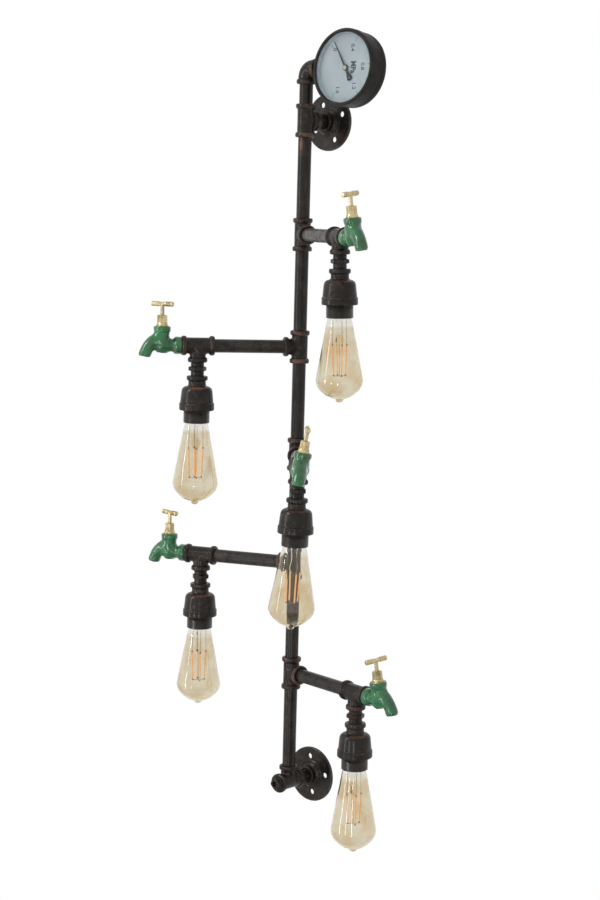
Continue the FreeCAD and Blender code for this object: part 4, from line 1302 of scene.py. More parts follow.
@dataclass(frozen=True)
class Plug:
    """Square-headed plug with a cored recess: face at z = 0, head towards +z."""

    depth: float = 10.0
    square: float = 15.2
    corner: float = 9.3
    head: float = 7.5
    recess: float = 4.0
    recess_depth: float = 4.0

    def shape(self) -> Shape:
        """Grows a tapered square head with round corners on the thread and sinks the recess.

        Returns:
            The plug's shape.
        """

        def field(points: np.ndarray) -> np.ndarray:
            """Signed distance to the plug.

            Args:
                points: The points of space.

            Returns:
                The signed distances.
            """
            x, y, z = points.T
            distance = np.hypot(x, y)
            thread = np.maximum(distance - LAYOUT.pipe, np.maximum(z - 1.0, -self.depth - z))
            taper = 0.06 * np.maximum(z, 0.0)
            square = -blended(self.square / 2 - taper - np.abs(x), self.square / 2 - taper - np.abs(y), 2.5)
            square = -blended(-square, self.corner - taper - distance, 1.5)
            head = -blended(-square, self.head - z, 2.0)
            head = np.maximum(head, -z - 1.0)
            recess = np.maximum(distance - self.recess, self.head - self.recess_depth - z)
            return cut_away(blended(thread, head, 0.8), recess, 1.2)

        edge = LAYOUT.pipe + 1.5
        return carved(field, (-edge, -edge, -self.depth - 1.5), (edge, edge, self.head + 1.5), 0.5)


@dataclass(frozen=True)
class Column:
    """Everything that the wall holds, apart from the gauge."""

    body: str = "stand"

    def iron(self, name: str, shape: Shape, place: np.ndarray, replaces: Sequence[str] = (),
             marks: Marks | None = None) -> None:
        """Adds one of the column's cast pieces.

        Args:
            name: The piece's name.
            shape: Its surface.
            place: Where it stands.
            replaces: CAD nodes that it stands for.
            marks: Its marks.
        """
        add_piece(name, shape, place, self.body, Slot.IRON, IRON, replaces, marks)

    def build(self) -> None:
        """Builds the wall flanges, tees, plug, elbow and pipes."""
        flange = WallFlange()
        plate = flange.shape()
        worn = flange.marks(plate)
        to_room = turn(Axis.X, 90.0)
        lowest = LAYOUT.lowest
        foot = LAYOUT.column(lowest)
        self.iron("flange_upper", plate, to_room @ turn(Axis.Z, 25.0), ["upper_wall_flange"], worn)
        self.iron("flange_lower", plate, shift(z=-LAYOUT.drop(lowest)) @ to_room @ turn(Axis.Z, 6.0),
                  ["lower_wall_flange"], worn)
        tee, rubbed = tee_parts()
        self.iron("wall_tee_upper", tee, LAYOUT.column() @ turn(Axis.Z, 90.0), ["wall_tees"], rubbed)
        self.iron("wall_tee_lower", tee, foot @ turn(Axis.Z, 90.0) @ turn(Axis.Y, -90.0), (), rubbed)
        self.iron("square_plug", Plug().shape(),
                  foot @ shift(y=-LAYOUT.tee_reach) @ to_room @ turn(Axis.Z, 45.0), ["tee_plug"])
        elbow = Elbow()
        bend = elbow.shape()
        self.iron("top_elbow", bend, LAYOUT.elbow(), ["gauge_elbow"], elbow.marks(bend))
        self.pipes()

    def pipe(self, name: str, gap: float, place: np.ndarray, replaces: Sequence[str] = (),
             marks: Callable[[np.ndarray], Marks] | None = None) -> None:
        """Adds a pipe that fills a gap and is screwed into the fittings at both its ends.

        Args:
            name: The piece's name.
            gap: How much of the pipe shows.
            place: The place of its middle.
            replaces: CAD nodes that it stands for.
            marks: What works out its marks from its points.
        """
        shape = tube(gap + 2 * LAYOUT.made_up)
        add_piece(name, shape, place, self.body, Slot.PIPE, PIPE, replaces,
                  marks(shape.points) if marks else None)

    def pipes(self) -> None:
        """Builds the column's pipes and the two wall nipples."""
        reach = LAYOUT.tee_reach
        for number, gap in enumerate(LAYOUT.gaps):
            self.pipe(f"column_pipe_{number + 1}", gap, LAYOUT.column(number) @ shift(z=-reach - gap / 2),
                      ["column_pipes"] if number == 0 else [], self.worn_spot if number == 0 else None)
        top_gap = LAYOUT.gauge_rise - reach - Elbow().elbow_reach
        self.pipe("column_pipe_top", top_gap, LAYOUT.column() @ shift(z=reach + top_gap / 2))
        wall_gap = LAYOUT.standoff - reach - LAYOUT.hub_height
        for name, number in (("upper", 0), ("lower", LAYOUT.lowest)):
            place = shift(y=-LAYOUT.hub_height - wall_gap / 2, z=-LAYOUT.drop(number))
            self.pipe(f"wall_nipple_{name}", wall_gap, place @ turn(Axis.X, 90.0),
                      ["wall_nipples"] if number == 0 else [])

    def worn_spot(self, points: np.ndarray) -> Marks:
        """Returns the top pipe's bare spot, just under its tee and to the left.

        Args:
            points: The pipe's points.

        Returns:
            The mark.
        """
        angle = np.degrees(np.arctan2(points[:, 1], points[:, 0]))
        across = (angle + 84.0) / 18.0
        along = (points[:, 2] - LAYOUT.gaps[0] / 2 + 9.0) / 7.5
        return {"bare_and_sheen": 0.6 * smooth_step(-np.hypot(across, along), -1.4, -0.5)}


# Lamps


@dataclass(frozen=True)
class BellSocket:
    """Bell-shaped reducing socket; its origin is its top face and it hangs towards -z."""

    band: float = 15.0
    neck: float = 12.5
    shoulder: float = 22.3
    skirt: float = 23.75
    ring: float = 25.0
    columns: int = 96

    def shape(self) -> Shape:
        """Turns the bell, hollow, with a softly rounded shoulder and a fine groove.

        Returns:
            The bell's shape.
        """
        line = [
            (LAYOUT.socket, 0.0), (self.band - 0.9, 0.0), (self.band, -1.0), (self.band, -5.4),
            (self.neck + 0.3, -6.9), (self.neck, -8.0), (self.neck, -12.4), (13.6, -14.3),
            (17.5, -15.4), (20.4, -17.4), (21.9, -20.6), (self.shoulder, -24.0),
            (self.skirt, -38.3), (self.ring - 0.3, -38.9), (self.ring, -39.7), (self.ring, -41.6),
            (self.ring - 0.45, -42.1), (self.ring, -42.6), (self.ring, -48.1),
            (self.ring - 0.9, -49.0), (19.0, -49.0), (19.0, -25.0), (LAYOUT.bore, -16.0),
            (LAYOUT.bore, -10.5), (LAYOUT.socket, -10.5)]
        return lathed(line, 1.0, self.columns, step=3.0, closed=True)

    def marks(self, shape: Shape, facing: float, bare_and_sheen: float) -> Marks:
        """Returns the wear, the shoulder's arc and fine lines at the band and the ring, and a painted
        highlight: coppery, on the arc's side that faces the camera.

        Args:
            shape: The bell.
            facing: The angle round its axis, in degrees, that faces the camera; the highlight's middle.
            bare_and_sheen: How strong the painted highlight is there.

        Returns:
            The marks.
        """
        x, y, z = shape.points.T
        out = np.hypot(x, y)
        arc = np.exp(-((z + 16.2) / 1.4) ** 2) * (out > 12.0)
        # Painted highlight: the coppery arc is set only on the side that faces the camera.
        aside = (np.degrees(np.arctan2(y, x)) - facing + 180.0) % 360.0 - 180.0
        facing_sheen = bare_and_sheen * arc * smooth_step(-np.abs(aside), -42.0, -20.0)
        band = np.exp(-(z / 0.9) ** 2) * 0.8
        ring = np.exp(-((z + 39.2) / 0.5) ** 2) * 0.7
        return {"rub": np.maximum(np.maximum(arc, band), ring) * (out > 12.0), "bare_and_sheen": facing_sheen}


@dataclass(frozen=True)
class Bulb:
    """Pear-shaped filament bulb; its origin is the lampholder's mouth and it hangs towards -z."""

    length: float
    wall: float = 0.7
    columns: int = 96
    clear_to: float = 11.7
    filament_circle: float = 10.4
    filament_foot: float = 8.6
    filament_top: float = 36.5
    filament_length: float = 42.0
    filament_radius: float = 1.1
    filament_count: int = 4

    def outline(self) -> np.ndarray:
        """Returns the glass's outer profile from the root down to the pip, as a smooth curve.

        The curve goes through radii measured in the photograph, as a spline in which each
        point's slope is that of the line between its neighbours.

        Returns:
            The profile's radii and heights.
        """
        known = np.array([
            (12.8, 5.5), (14.6, 3.0), (16.2, 0.0), (18.5, -9.0), (21.0, -24.0), (23.9, -38.0),
            (26.4, -52.0), (29.2, -67.0), (31.5, -80.0), (32.3, -86.5), (31.4, -92.0),
            (28.6, -97.4), (24.0, -102.4), (17.8, -107.4), (11.0, -110.7), (6.8, -112.0),
            (5.5, -113.0), (4.8, -114.8), (2.9, -116.2), (0.0, -116.5)])
        known[3:, 1] *= self.length / 116.5
        slope = np.gradient(known, axis=0)
        t = np.linspace(0.0, 1.0, 7)[:-1, None, None]
        a, b, m, n = known[:-1], known[1:], slope[:-1], slope[1:]
        curve = ((2 * t ** 3 - 3 * t ** 2 + 1) * a + (t ** 3 - 2 * t ** 2 + t) * m
                 + (-2 * t ** 3 + 3 * t ** 2) * b + (t ** 3 - t ** 2) * n)
        return np.concatenate([curve.transpose(1, 0, 2).reshape(-1, 2), known[-1:]])

    def glass(self) -> Shape:
        """Turns the envelope: the outer curve down, and back up a wall's thickness inside it.

        Returns:
            The envelope's shape.
        """
        outer = self.outline()
        along = np.gradient(outer, axis=0)
        along /= np.linalg.norm(along, axis=1, keepdims=True)
        inner = outer + self.wall * np.stack([along[:, 1], -along[:, 0]], axis=1)
        inner[:, 0] = np.maximum(inner[:, 0], 0.0)
        inner = inner[:-5]
        inner[-1, 0] = 0.0
        return turned(np.concatenate([outer[::-1], inner]), self.columns, closed=False)

    def marks(self, shape: Shape) -> Marks:
        """Returns the tint: a smooth step from the clear neck to the tinted part."""
        return {"tint": smooth_step(-shape.points[:, 2], self.clear_to - 1.0, self.clear_to + 1.0)}

    def cap(self) -> Shape:
        """Turns the screw cap; its thread climbs one pitch for each turn round the axis.

        Returns:
            The cap's shape.
        """
        pitch, depth, columns = 3.6, 0.8, 72
        body = filled(np.array([(13.0, 5.5), (13.0, 26.0)]), pitch / 8)
        tip = np.array([(11.0, 28.5), (5.0, 29.6), (4.5, 31.9), (0.0, 31.9)])
        line = np.concatenate([[(0.0, 5.5)], body, tip])
        turns = np.linspace(0.0, 1.0, columns, endpoint=False)
        wave = np.cos(2 * np.pi * (line[:, 1:] / pitch - turns[None, :]))
        faded = np.clip((line[:, 1:] - 8.5) / 2, 0, 1) * np.clip((26.0 - line[:, 1:]) / 2, 0, 1)
        return turned(line, columns, ripple=-depth * (0.5 - 0.5 * wave) * faded)

    def stem(self) -> Shape:
        """Turns the inner glass stem: a flare at the neck, a tube and a tulip-shaped bead.

        Returns:
            The stem's shape.
        """
        line = [(0.0, 5.4), (10.0, 5.4), (7.6, 2.0), (4.6, -4.0), (3.8, -12.0), (3.8, -21.0),
                (4.9, -25.0), (6.3, -31.0), (4.6, -35.5), (1.8, -38.0), (0.0, -38.0)]
        return lathed(line, 2.5, 32, step=2.0)

    def stem_marks(self, shape: Shape) -> Marks:
        """Returns the stem's tint, which is brownish at its bead."""
        return {"tint": smooth_step(-shape.points[:, 2], 16.0, 27.0)}

    def rod(self, radius: float, start: float, end: float, easing: float, columns: int) -> Shape:
        """Turns a round rod along z, from one height to another, with eased ends."""
        return lathed([(0.0, start), (radius, start), (radius, end), (0.0, end)], easing, columns)

    def filament_bearing(self, number: int) -> float:
        """Returns the angle round the bulb's axis at which a filament stands, in degrees."""
        return (number + 0.5) * 360.0 / self.filament_count

    def filament_place(self, number: int) -> np.ndarray:
        """Returns the place of a filament's top, with z up along it: its foot leans inwards.

        Args:
            number: Which of the filaments.

        Returns:
            The place.
        """
        lean = math.asin((self.filament_circle - self.filament_foot) / self.filament_length)
        top = shift(x=self.filament_circle, z=-self.filament_top)
        return turn(Axis.Z, self.filament_bearing(number)) @ top @ turn(Axis.Y, math.degrees(lean))

    def filaments(self) -> list[Shape]:
        """Returns the four filaments, each a slim rounded rod."""
        rod = self.rod(self.filament_radius, 0.0, -self.filament_length, 0.4, 16)
        return [rod.placed(self.filament_place(number)) for number in range(self.filament_count)]

    def wires(self) -> list[Shape]:
        """Returns the wires: an upright to each filament, its foot's arm and the centre post.

        Returns:
            The wires' shapes.
        """
        top, foot = self.filament_top, self.filament_top + self.filament_length
        upright = self.rod(0.28, 0.0, top - 3.0, 0.2, 8)
        arm = self.rod(0.3, 0.0, self.filament_foot, 0.2, 8)
        end = self.rod(1.15, -1.0, 1.2, 0.3, 12)
        shapes = [self.rod(0.25, -foot - 1.0, -35.0, 0.2, 8)]
        for number in range(self.filament_count):
            spin = turn(Axis.Z, self.filament_bearing(number))
            place = self.filament_place(number)
            shapes.append(upright.placed(spin @ shift(x=self.filament_circle, z=-top) @ turn(Axis.Y, -1.5)))
            shapes.append(arm.placed(spin @ shift(z=-foot - 0.8) @ turn(Axis.Y, 90.0)))
            shapes.append(end.placed(place))
            shapes.append(end.placed(place @ shift(z=-self.filament_length)))
        return shapes


@dataclass(frozen=True)
class HangingLamp:
    """A lamp under an end tee: hex nipple, bell, lampholder and bulb."""

    plan: ArmPlan
    bell_top: float = 43.0
    mouth: float = 110.0

    def build(self) -> None:
        """Builds the lamp's pieces; its lampholder is a kept CAD node."""
        number, body, place = self.plan.number, self.plan.body, self.plan.lamp()
        nipple = add_piece(f"hex_nipple_{number}", HexNipple().shape(), place, body, Slot.PIPE, PIPE,
                           [f"arm_nipples_{number}"])
        even_normals(nipple)
        bell = BellSocket()
        cup = bell.shape()
        # The bell's painted coppery highlight is set on the side that faces the camera.
        even_normals(add_piece(f"bell_{number}", cup, place @ shift(z=-self.bell_top), body, Slot.IRON,
                               IRON, [f"lamp_bell_{number}"],
                               bell.marks(cup, self.plan.azimuth - 45.0, self.plan.shoulder_sheen)))
        bulb = Bulb(self.plan.bulb_length)
        mouth = place @ shift(z=-self.mouth) @ turn(Axis.Z, self.plan.bulb_turn)
        glass, stem = bulb.glass(), bulb.stem()
        for name, shape, slot, finish, replaced, marks in (
                ("bulb_envelope", glass, Slot.AMBER, BULB, [f"bulb_glass_{number}"], bulb.marks(glass)),
                ("bulb_cap", bulb.cap(), Slot.BRASS, BRASS, [f"bulb_base_{number}"], None),
                ("bulb_stem", stem, Slot.CLEAR, STEM_GLASS, [], bulb.stem_marks(stem)),
                ("bulb_filaments", joined(bulb.filaments()), Slot.BRASS, FILAMENT, [], None),
                ("bulb_wires", joined(bulb.wires()), Slot.BRASS, WIRE, [], None)):
            add_piece(f"{name}_{number}", shape, mouth, body, slot, finish, replaced, marks)


# Taps


@dataclass(frozen=True)
class BibTap:
    """A bib tap; its origin is on the arm's axis at the end tee's face, with x away from it."""

    plan: ArmPlan
    axis: float = 28.0
    height: float = 27.0
    bar_height: float = 58.5
    half_bar: float = 16.75
    flare_across_flats: float = 15.0
    gland_across_flats: float = 12.5

    def build(self) -> None:
        """Builds the casting, the brass headgear and the handle."""
        number, body, place = self.plan.number, self.plan.body, self.plan.tap()
        upright = place @ shift(x=self.axis)
        add_piece(f"tap_casting_{number}", tap_shape(), place, body, Slot.GREEN, ENAMEL,
                  [f"tap_body_{number}"])
        even_normals(add_piece(f"tap_nuts_{number}", self.headgear(), upright, body, Slot.BRASS, BRASS,
                               [f"tap_headgear_{number}"]))
        handle = upright @ turn(Axis.Z, -self.plan.handle_turn)
        even_normals(add_piece(f"tap_tee_bar_{number}", self.handle(), handle, f"handle_{number}",
                               Slot.BRASS, BRASS, [f"tap_handle_{number}"]))

    def headgear(self) -> Shape:
        """Turns the seat's thin flange, the flared hexagon on it and the tall gland nut.

        Returns:
            The headgear's shape.
        """
        columns, bore, low = 96, 2.85, self.height
        seat = [(bore, low - 12.0), (7.65, low - 12.0), (7.65, low), (9.3, low), (9.3, low + 0.8),
                (bore, low + 0.8)]
        flare = [(bore, low + 0.8), (8.7, low + 0.8), (8.2, low + 2.2), (7.5, low + 4.2),
                 (7.1, low + 5.4), (bore, low + 5.4)]
        gland = [(bore, low + 5.4), (7.2, low + 5.4), (7.2, low + 14.6), (6.7, low + 15.4),
                 (5.4, low + 15.9), (bore, low + 15.9)]
        parts = ((seat, None), (flare, hexagon_reach(columns, self.flare_across_flats)),
                 (gland, hexagon_reach(columns, self.gland_across_flats)))
        return joined([lathed(line, 0.3, columns, step=1.0, closed=True, steps=3, limit=limit)
                       for line, limit in parts])

    def handle(self) -> Shape:
        """Turns the spindle with its valve and the lobed, grooved bar across its top.

        Returns:
            The handle's shape.
        """
        top, half = self.bar_height, self.half_bar
        valve_and_spindle = [(0.0, 4.0), (6.5, 4.0), (6.5, 8.0), (2.8, 8.0), (2.8, top + 1.5),
                             (0.0, top + 2.0)]
        spindle = lathed(valve_and_spindle, 0.5, 32, step=2.0)
        side = [(0.0, half), (2.4, half), (3.3, half - 0.6), (3.6, half - 1.5), (3.6, half - 3.2),
                (3.3, half - 3.7), (3.3, half - 4.1), (3.6, half - 4.6), (3.6, half - 11.0),
                (3.1, half - 12.2), (3.1, 1.2), (2.2, 0.6)]
        line = side + [(radius, -height) for radius, height in reversed(side)]
        bar = lathed(line, 0.5, 32, step=1.5)
        return joined([spindle, bar.placed(shift(z=top) @ turn(Axis.Y, 90.0))])


@lru_cache(maxsize=None)
def tap_shape() -> Shape:
    """Works out the tap's casting once.

    A turned inlet, a turned chamber and a bent, tapering spout grow together with broad
    fillets, low waves make the casting uneven, and the bores are cut away. The spout's
    middle line is an arc about a centre behind and below the chamber's axis.

    Returns:
        The casting's shape.
    """
    axis, top, thread = BibTap.axis, BibTap.height, LAYOUT.pipe
    bend, spout_radius, throat_radius = 33.0, 9.8, 6.2
    waviness = 0.11
    inlet = np.array([
        (0.0, -10.0), (thread, -10.0), (thread, 0.1), (11.3, 0.1), (12.5, 1.4), (12.5, 8.2),
        (11.4, 10.2), (9.4, 12.6), (9.1, 16.0), (9.4, axis), (0.0, axis)])
    chamber = np.array([
        (0.0, -10.6), (7.0, -10.2), (9.6, -6.4), (10.9, -1.0), (10.9, 8.0), (10.5, 14.0),
        (10.7, 18.0), (12.0, 20.6), (12.2, 22.2), (12.2, top - 1.4), (11.1, top), (0.0, top)])
    cavity = np.array([(0.0, 2.0), (7.7, 2.0), (7.7, top + 2.0), (0.0, top + 2.0)])
    bore = np.array([(0.0, -12.0), (throat_radius, -12.0), (throat_radius, axis), (0.0, axis)])
    centre = (axis - 7.9, -21.4)

    def field(points: np.ndarray) -> np.ndarray:
        """Signed distance to the casting.

        Args:
            points: The points of space.

        Returns:
            The signed distances.
        """
        upright = points - (axis, 0.0, 0.0)
        body = blended(turned_field(points, inlet, Axis.X), turned_field(upright, chamber, Axis.Z), 5.0)
        spout = bend_field(points, centre, bend, spout_radius, 13.0, 80.0, taper=1.2)
        lip = bend_field(points, centre, bend, 8.0, 9.5, 20.0)
        body = blended(body, blended(spout, lip, 1.5), 5.0)
        x, y, z = points.T
        waves = np.sin(0.47 * x + 1.0) * np.sin(0.61 * y + 2.0) + np.sin(0.53 * z + 0.4 * x)
        # The face that meets the tee and the rim under the headgear stay true.
        free = smooth_step(x, 1.5, 4.0) * smooth_step(-z, 1.5 - top, 4.0 - top)
        body = body + waviness * waves * free
        hollow = np.minimum(turned_field(upright, cavity, Axis.Z), turned_field(points, bore, Axis.X))
        throat = bend_field(points, centre, bend, throat_radius, 5.0, 80.0)
        return cut_away(body, np.minimum(hollow, throat), 1.0)

    return carved(field, (-11.5, -14.5, -25.0), (66.0, 14.5, top + 1.5), 0.6)


# Arms


@dataclass(frozen=True)
class SwingArm:
    """An arm: its column tee, its pipe, its end tee, its lamp and its tap."""

    plan: ArmPlan
    end_tee_rub: float = 0.45

    def build(self) -> None:
        """Builds every piece of the arm."""
        number, body = self.plan.number, self.plan.body
        tee, rubbed = tee_parts()
        root = self.plan.column_tee()
        add_piece(f"column_tee_{number}", tee, root, body, Slot.IRON, IRON, [f"arm_tees_{number}"], rubbed)
        less = {"rub": rubbed["rub"] * self.end_tee_rub}
        add_piece(f"end_tee_{number}", tee, self.plan.lamp() @ turn(Axis.Y, 90.0), body, Slot.IRON,
                  IRON, (), less)
        pipe = tube(LAYOUT.arm_length - 2 * LAYOUT.tee_reach + 2 * LAYOUT.made_up)
        # Painted light: the pipe's pale mark lightens it for the light that falls on it.
        pale = np.full(len(pipe.points), self.plan.pipe_painted_light)
        add_piece(f"arm_pipe_{number}", pipe, root @ shift(x=LAYOUT.arm_length / 2) @ turn(Axis.Y, 90.0),
                  body, Slot.PIPE, PIPE, (), {"pale": pale})
        HangingLamp(self.plan).build()
        BibTap(self.plan).build()


# Gauge


@dataclass(frozen=True)
class DialText:
    """A short text on the dial, and where its middle is: clockwise from the top, and out."""

    text: str
    angle: float
    radius: float
    size: float = 8.6
    weight: float = 0.16
    width: float = 1.0


DIAL_TEXTS = (
    DialText("0", -44.3, 34.5), DialText("0.4", 15.5, 29.1), DialText("0.8", 85.0, 29.6),
    DialText("1.2", 143.5, 30.0), DialText("1.6", 200.3, 32.4),
    DialText("MPa", 84.0, 12.6, 12.8, 0.46, 0.76))


@dataclass(frozen=True)
class PressureGauge:
    """The gauge, built in its own frame: z towards the room, y up, x away from the column."""

    body: str = "stand"
    front: float = 22.0
    back: float = -13.0
    ring: float = 53.7
    window: float = 48.5
    case: float = 52.5
    glass_front: float = 20.0
    glass_back: float = 17.6
    dial_face: float = 12.6
    dial_back: float = 11.8
    dial_radius: float = 50.9
    zero: float = -45.5
    step: float = 63.0
    upright: float = 85.0
    pointer_turn: float = -35.3
    columns: int = 128
    scale_radius: float = 44.8
    scale_steps: int = 80
    steps_to_number: int = 20
    steps_to_half: int = 10
    print_height: float = 0.05

    def build(self) -> None:
        """Builds the case, the ring, the window, the dial with its scale, and the pointer."""
        place = LAYOUT.gauge()
        even_normals(add_piece("gauge_cup", self.cup(), place, self.body, Slot.CASE, CASE, ["gauge_case"]))
        even_normals(add_piece("gauge_bezel", self.bezel(), place, self.body, Slot.CASE, CASE,
                               ["gauge_ring"]))
        add_piece("gauge_window", self.disc(0.0, self.case - 0.1, self.glass_back, self.glass_front),
                  place, self.body, Slot.CLEAR, WINDOW, ["gauge_glass"])
        add_piece("gauge_face", self.disc(2.2, self.dial_radius, self.dial_back, self.dial_face), place,
                  self.body, Slot.DIAL, DIAL, ["gauge_dial"])
        add_piece("gauge_spacer", self.spacer(), place, self.body, Slot.DIAL, SPACER)
        add_piece("gauge_scale_long", self.strokes(True), place, self.body, Slot.POINTER, INK)
        add_piece("gauge_scale_short", self.strokes(False), place, self.body, Slot.POINTER, FINE_INK)
        for label in DIAL_TEXTS:
            self.lettering(label, place)
        hand = place @ turn(Axis.Z, -self.pointer_turn)
        add_piece("gauge_hand", self.hand(), hand, "pointer", Slot.POINTER, INK, ["gauge_pointer"])
        low = self.dial_face
        boss = [(0.0, 5.0), (1.5, 5.0), (1.5, low + 0.9), (4.4, low + 0.9), (4.4, low + 2.6),
                (0.0, low + 2.6)]
        cap = [(0.0, low + 2.5), (3.0, low + 2.5), (3.0, low + 3.6), (2.2, low + 4.0), (0.0, low + 4.0)]
        add_piece("gauge_boss", lathed(boss, 0.4, 32), hand, "pointer", Slot.POINTER, INK)
        add_piece("gauge_cap", lathed(cap, 0.4, 32), hand, "pointer", Slot.BRASS, CREAM)

    def cup(self) -> Shape:
        """Turns the case with its rounded back edge and two shallow grooves behind the ring.

        Returns:
            The case's shape.
        """
        case, back = self.case, self.back
        line = [
            (0.0, back), (case - 4.0, back), (case - 1.0, back + 1.0), (case, back + 4.0),
            (case, back + 8.0), (case - 0.5, back + 8.5), (case, back + 9.0), (case, back + 11.0),
            (case - 0.5, back + 11.5), (case, back + 12.0), (case, self.glass_back),
            (case - 1.5, self.glass_back), (case - 1.5, back + 4.0), (case - 4.0, back + 1.5),
            (0.0, back + 1.5)]
        return lathed(line, 1.2, self.columns, step=4.0)

    def bezel(self) -> Shape:
        """Turns the ring: a lip over the window, bevelled inwards, and a skirt over the case.

        Returns:
            The ring's shape.
        """
        line = [
            (self.window, self.glass_front), (self.window, self.front - 1.3),
            (self.window + 1.2, self.front), (self.ring - 1.4, self.front),
            (self.ring, self.front - 1.4), (self.ring, self.front - 12.0),
            (self.case + 0.1, self.front - 12.0), (self.case + 0.1, self.glass_front)]
        return lathed(line, 0.5, self.columns, step=3.0, closed=True)

    def spacer(self) -> Shape:
        """Turns the flared ring that keeps the window off the dial.

        Returns:
            The ring's shape.
        """
        line = [(47.3, self.dial_face), (self.dial_radius, self.dial_face),
                (self.dial_radius, self.glass_back), (48.9, self.glass_back)]
        return lathed(line, 0.2, self.columns, step=3.0, closed=True, steps=3)

    def disc(self, hole: float, radius: float, low: float, high: float) -> Shape:
        """Turns a flat disc or ring with eased edges.

        Args:
            hole: The hole's radius, 0 for none.
            radius: The outer radius.
            low: The height of its lower face.
            high: The height of its upper face.

        Returns:
            The disc's shape.
        """
        line = [(hole, low), (radius, low), (radius, high), (hole, high)]
        return lathed(line, 0.3, self.columns, step=6.0, closed=hole > 0, steps=3)

    def strokes(self, long: bool) -> Shape:
        """Lays out the scale's long strokes, or the short ones between them.

        Each stroke is a thin box from an outer radius inwards. A long one stands at every
        number, and a short one halfway between two numbers is somewhat longer.

        Args:
            long: Whether to lay out the long ones.

        Returns:
            The strokes as one shape.
        """
        box = np.array([(x, y, z) for x in (-0.5, 0.5) for y in (0.0, 1.0) for z in (0.0, 1.0)])
        faces = np.array([(0, 1, 3, 2), (4, 6, 7, 5), (0, 4, 5, 1), (2, 3, 7, 6), (0, 2, 6, 4),
                          (1, 5, 7, 3)])
        width = 0.6 if long else 0.34
        shapes = []
        for index in range(self.scale_steps + 1):
            if (index % self.steps_to_number == 0) != long:
                continue
            length = 6.2 if long else 4.2 if index % self.steps_to_half == 0 else 2.6
            corner = (0.0, self.scale_radius - length, self.dial_face)
            points = box * (width, length, self.print_height) + corner
            stroke = Shape(points, faces, np.zeros(8)).welded()
            angle = self.zero + index * self.step / self.steps_to_number
            shapes.append(stroke.placed(turn(Axis.Z, -angle)))
        return joined(shapes)

    def lettering(self, label: DialText, place: np.ndarray) -> None:
        """Prints a text on the dial, upright for a gauge that hangs by its stem.

        Args:
            label: What to print, and where.
            place: The gauge's place.
        """
        name = "dial_text_" + label.text.replace(".", "_")
        curve = bpy.data.curves.new(name, "FONT")
        curve.body, curve.size, curve.offset = label.text, label.size, label.weight
        curve.align_x, curve.align_y, curve.extrude = "CENTER", "CENTER", 0.03
        maker = bpy.data.objects.new(name, curve)
        bpy.context.scene.collection.objects.link(maker)
        bpy.context.view_layer.update()
        mesh = bpy.data.meshes.new_from_object(maker)
        bpy.data.objects.remove(maker)
        bpy.data.curves.remove(curve)
        spot = (turn(Axis.Z, -label.angle) @ shift(y=label.radius, z=self.dial_face + 0.03)
                @ turn(Axis.Z, label.angle - self.upright) @ np.diag((label.width, 1.0, 1.0, 1.0)))
        mesh.transform(Matrix((place @ spot).tolist()))
        mesh.transform(Matrix.Scale(MM, 4))
        mesh.materials.clear()
        mesh.materials.append(INK.material())
        piece = bpy.data.objects.new(name, mesh)
        bpy.context.scene.collection.objects.link(piece)
        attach(piece, self.body)
        LOG.info("%s: printed on the dial", name)

    def hand(self) -> Shape:
        """Builds the pointer: a slim blade along y and a tail that widens to its end.

        Its half-width at each height is interpolated from a few known ones, and the same
        outline is laid at its lower and its upper face.

        Returns:
            The pointer's shape.
        """
        known = np.array([(-20.0, 2.4), (-19.4, 4.5), (-6.0, 1.2), (0.0, 1.5), (10.0, 1.1), (44.2, 0.3)])
        along = np.linspace(-20.0, 44.2, 48)
        half = np.interp(along, known[:, 0], known[:, 1])
        low, high = np.full_like(half, self.dial_face + 1.6), np.full_like(half, self.dial_face + 2.4)
        ring = np.stack([np.stack(corner, axis=1) for corner in (
            (-half, along, low), (half, along, low), (half, along, high), (-half, along, high))], axis=1)
        middle = ring.mean(axis=1, keepdims=True).repeat(4, axis=1)
        return net(np.concatenate([middle[:1], ring, middle[-1:]]), False, True)


# Studio


@dataclass(frozen=True)
class SoftLamp:
    """An area lamp: where it is and what it faces, its size and its power, in m and W.

    It isn't seen through glass, so that a bulb between it and the eye keeps its tint.
    """

    name: str
    spot: tuple[float, float, float]
    target: tuple[float, float, float]
    width: float
    height: float
    watts: float

    def build(self) -> None:
        """Makes the lamp, turned so that its height is upright."""
        light = bpy.data.lights.new(self.name, "AREA")
        light.shape, light.energy = "RECTANGLE", self.watts
        light.size, light.size_y = self.width, self.height
        lamp = bpy.data.objects.new(self.name, light)
        ahead = Vector(self.target) - Vector(self.spot)
        lamp.rotation_euler = ahead.to_track_quat("-Z", "Y").to_euler()
        lamp.location = self.spot
        lamp.visible_transmission = False
        bpy.context.scene.collection.objects.link(lamp)


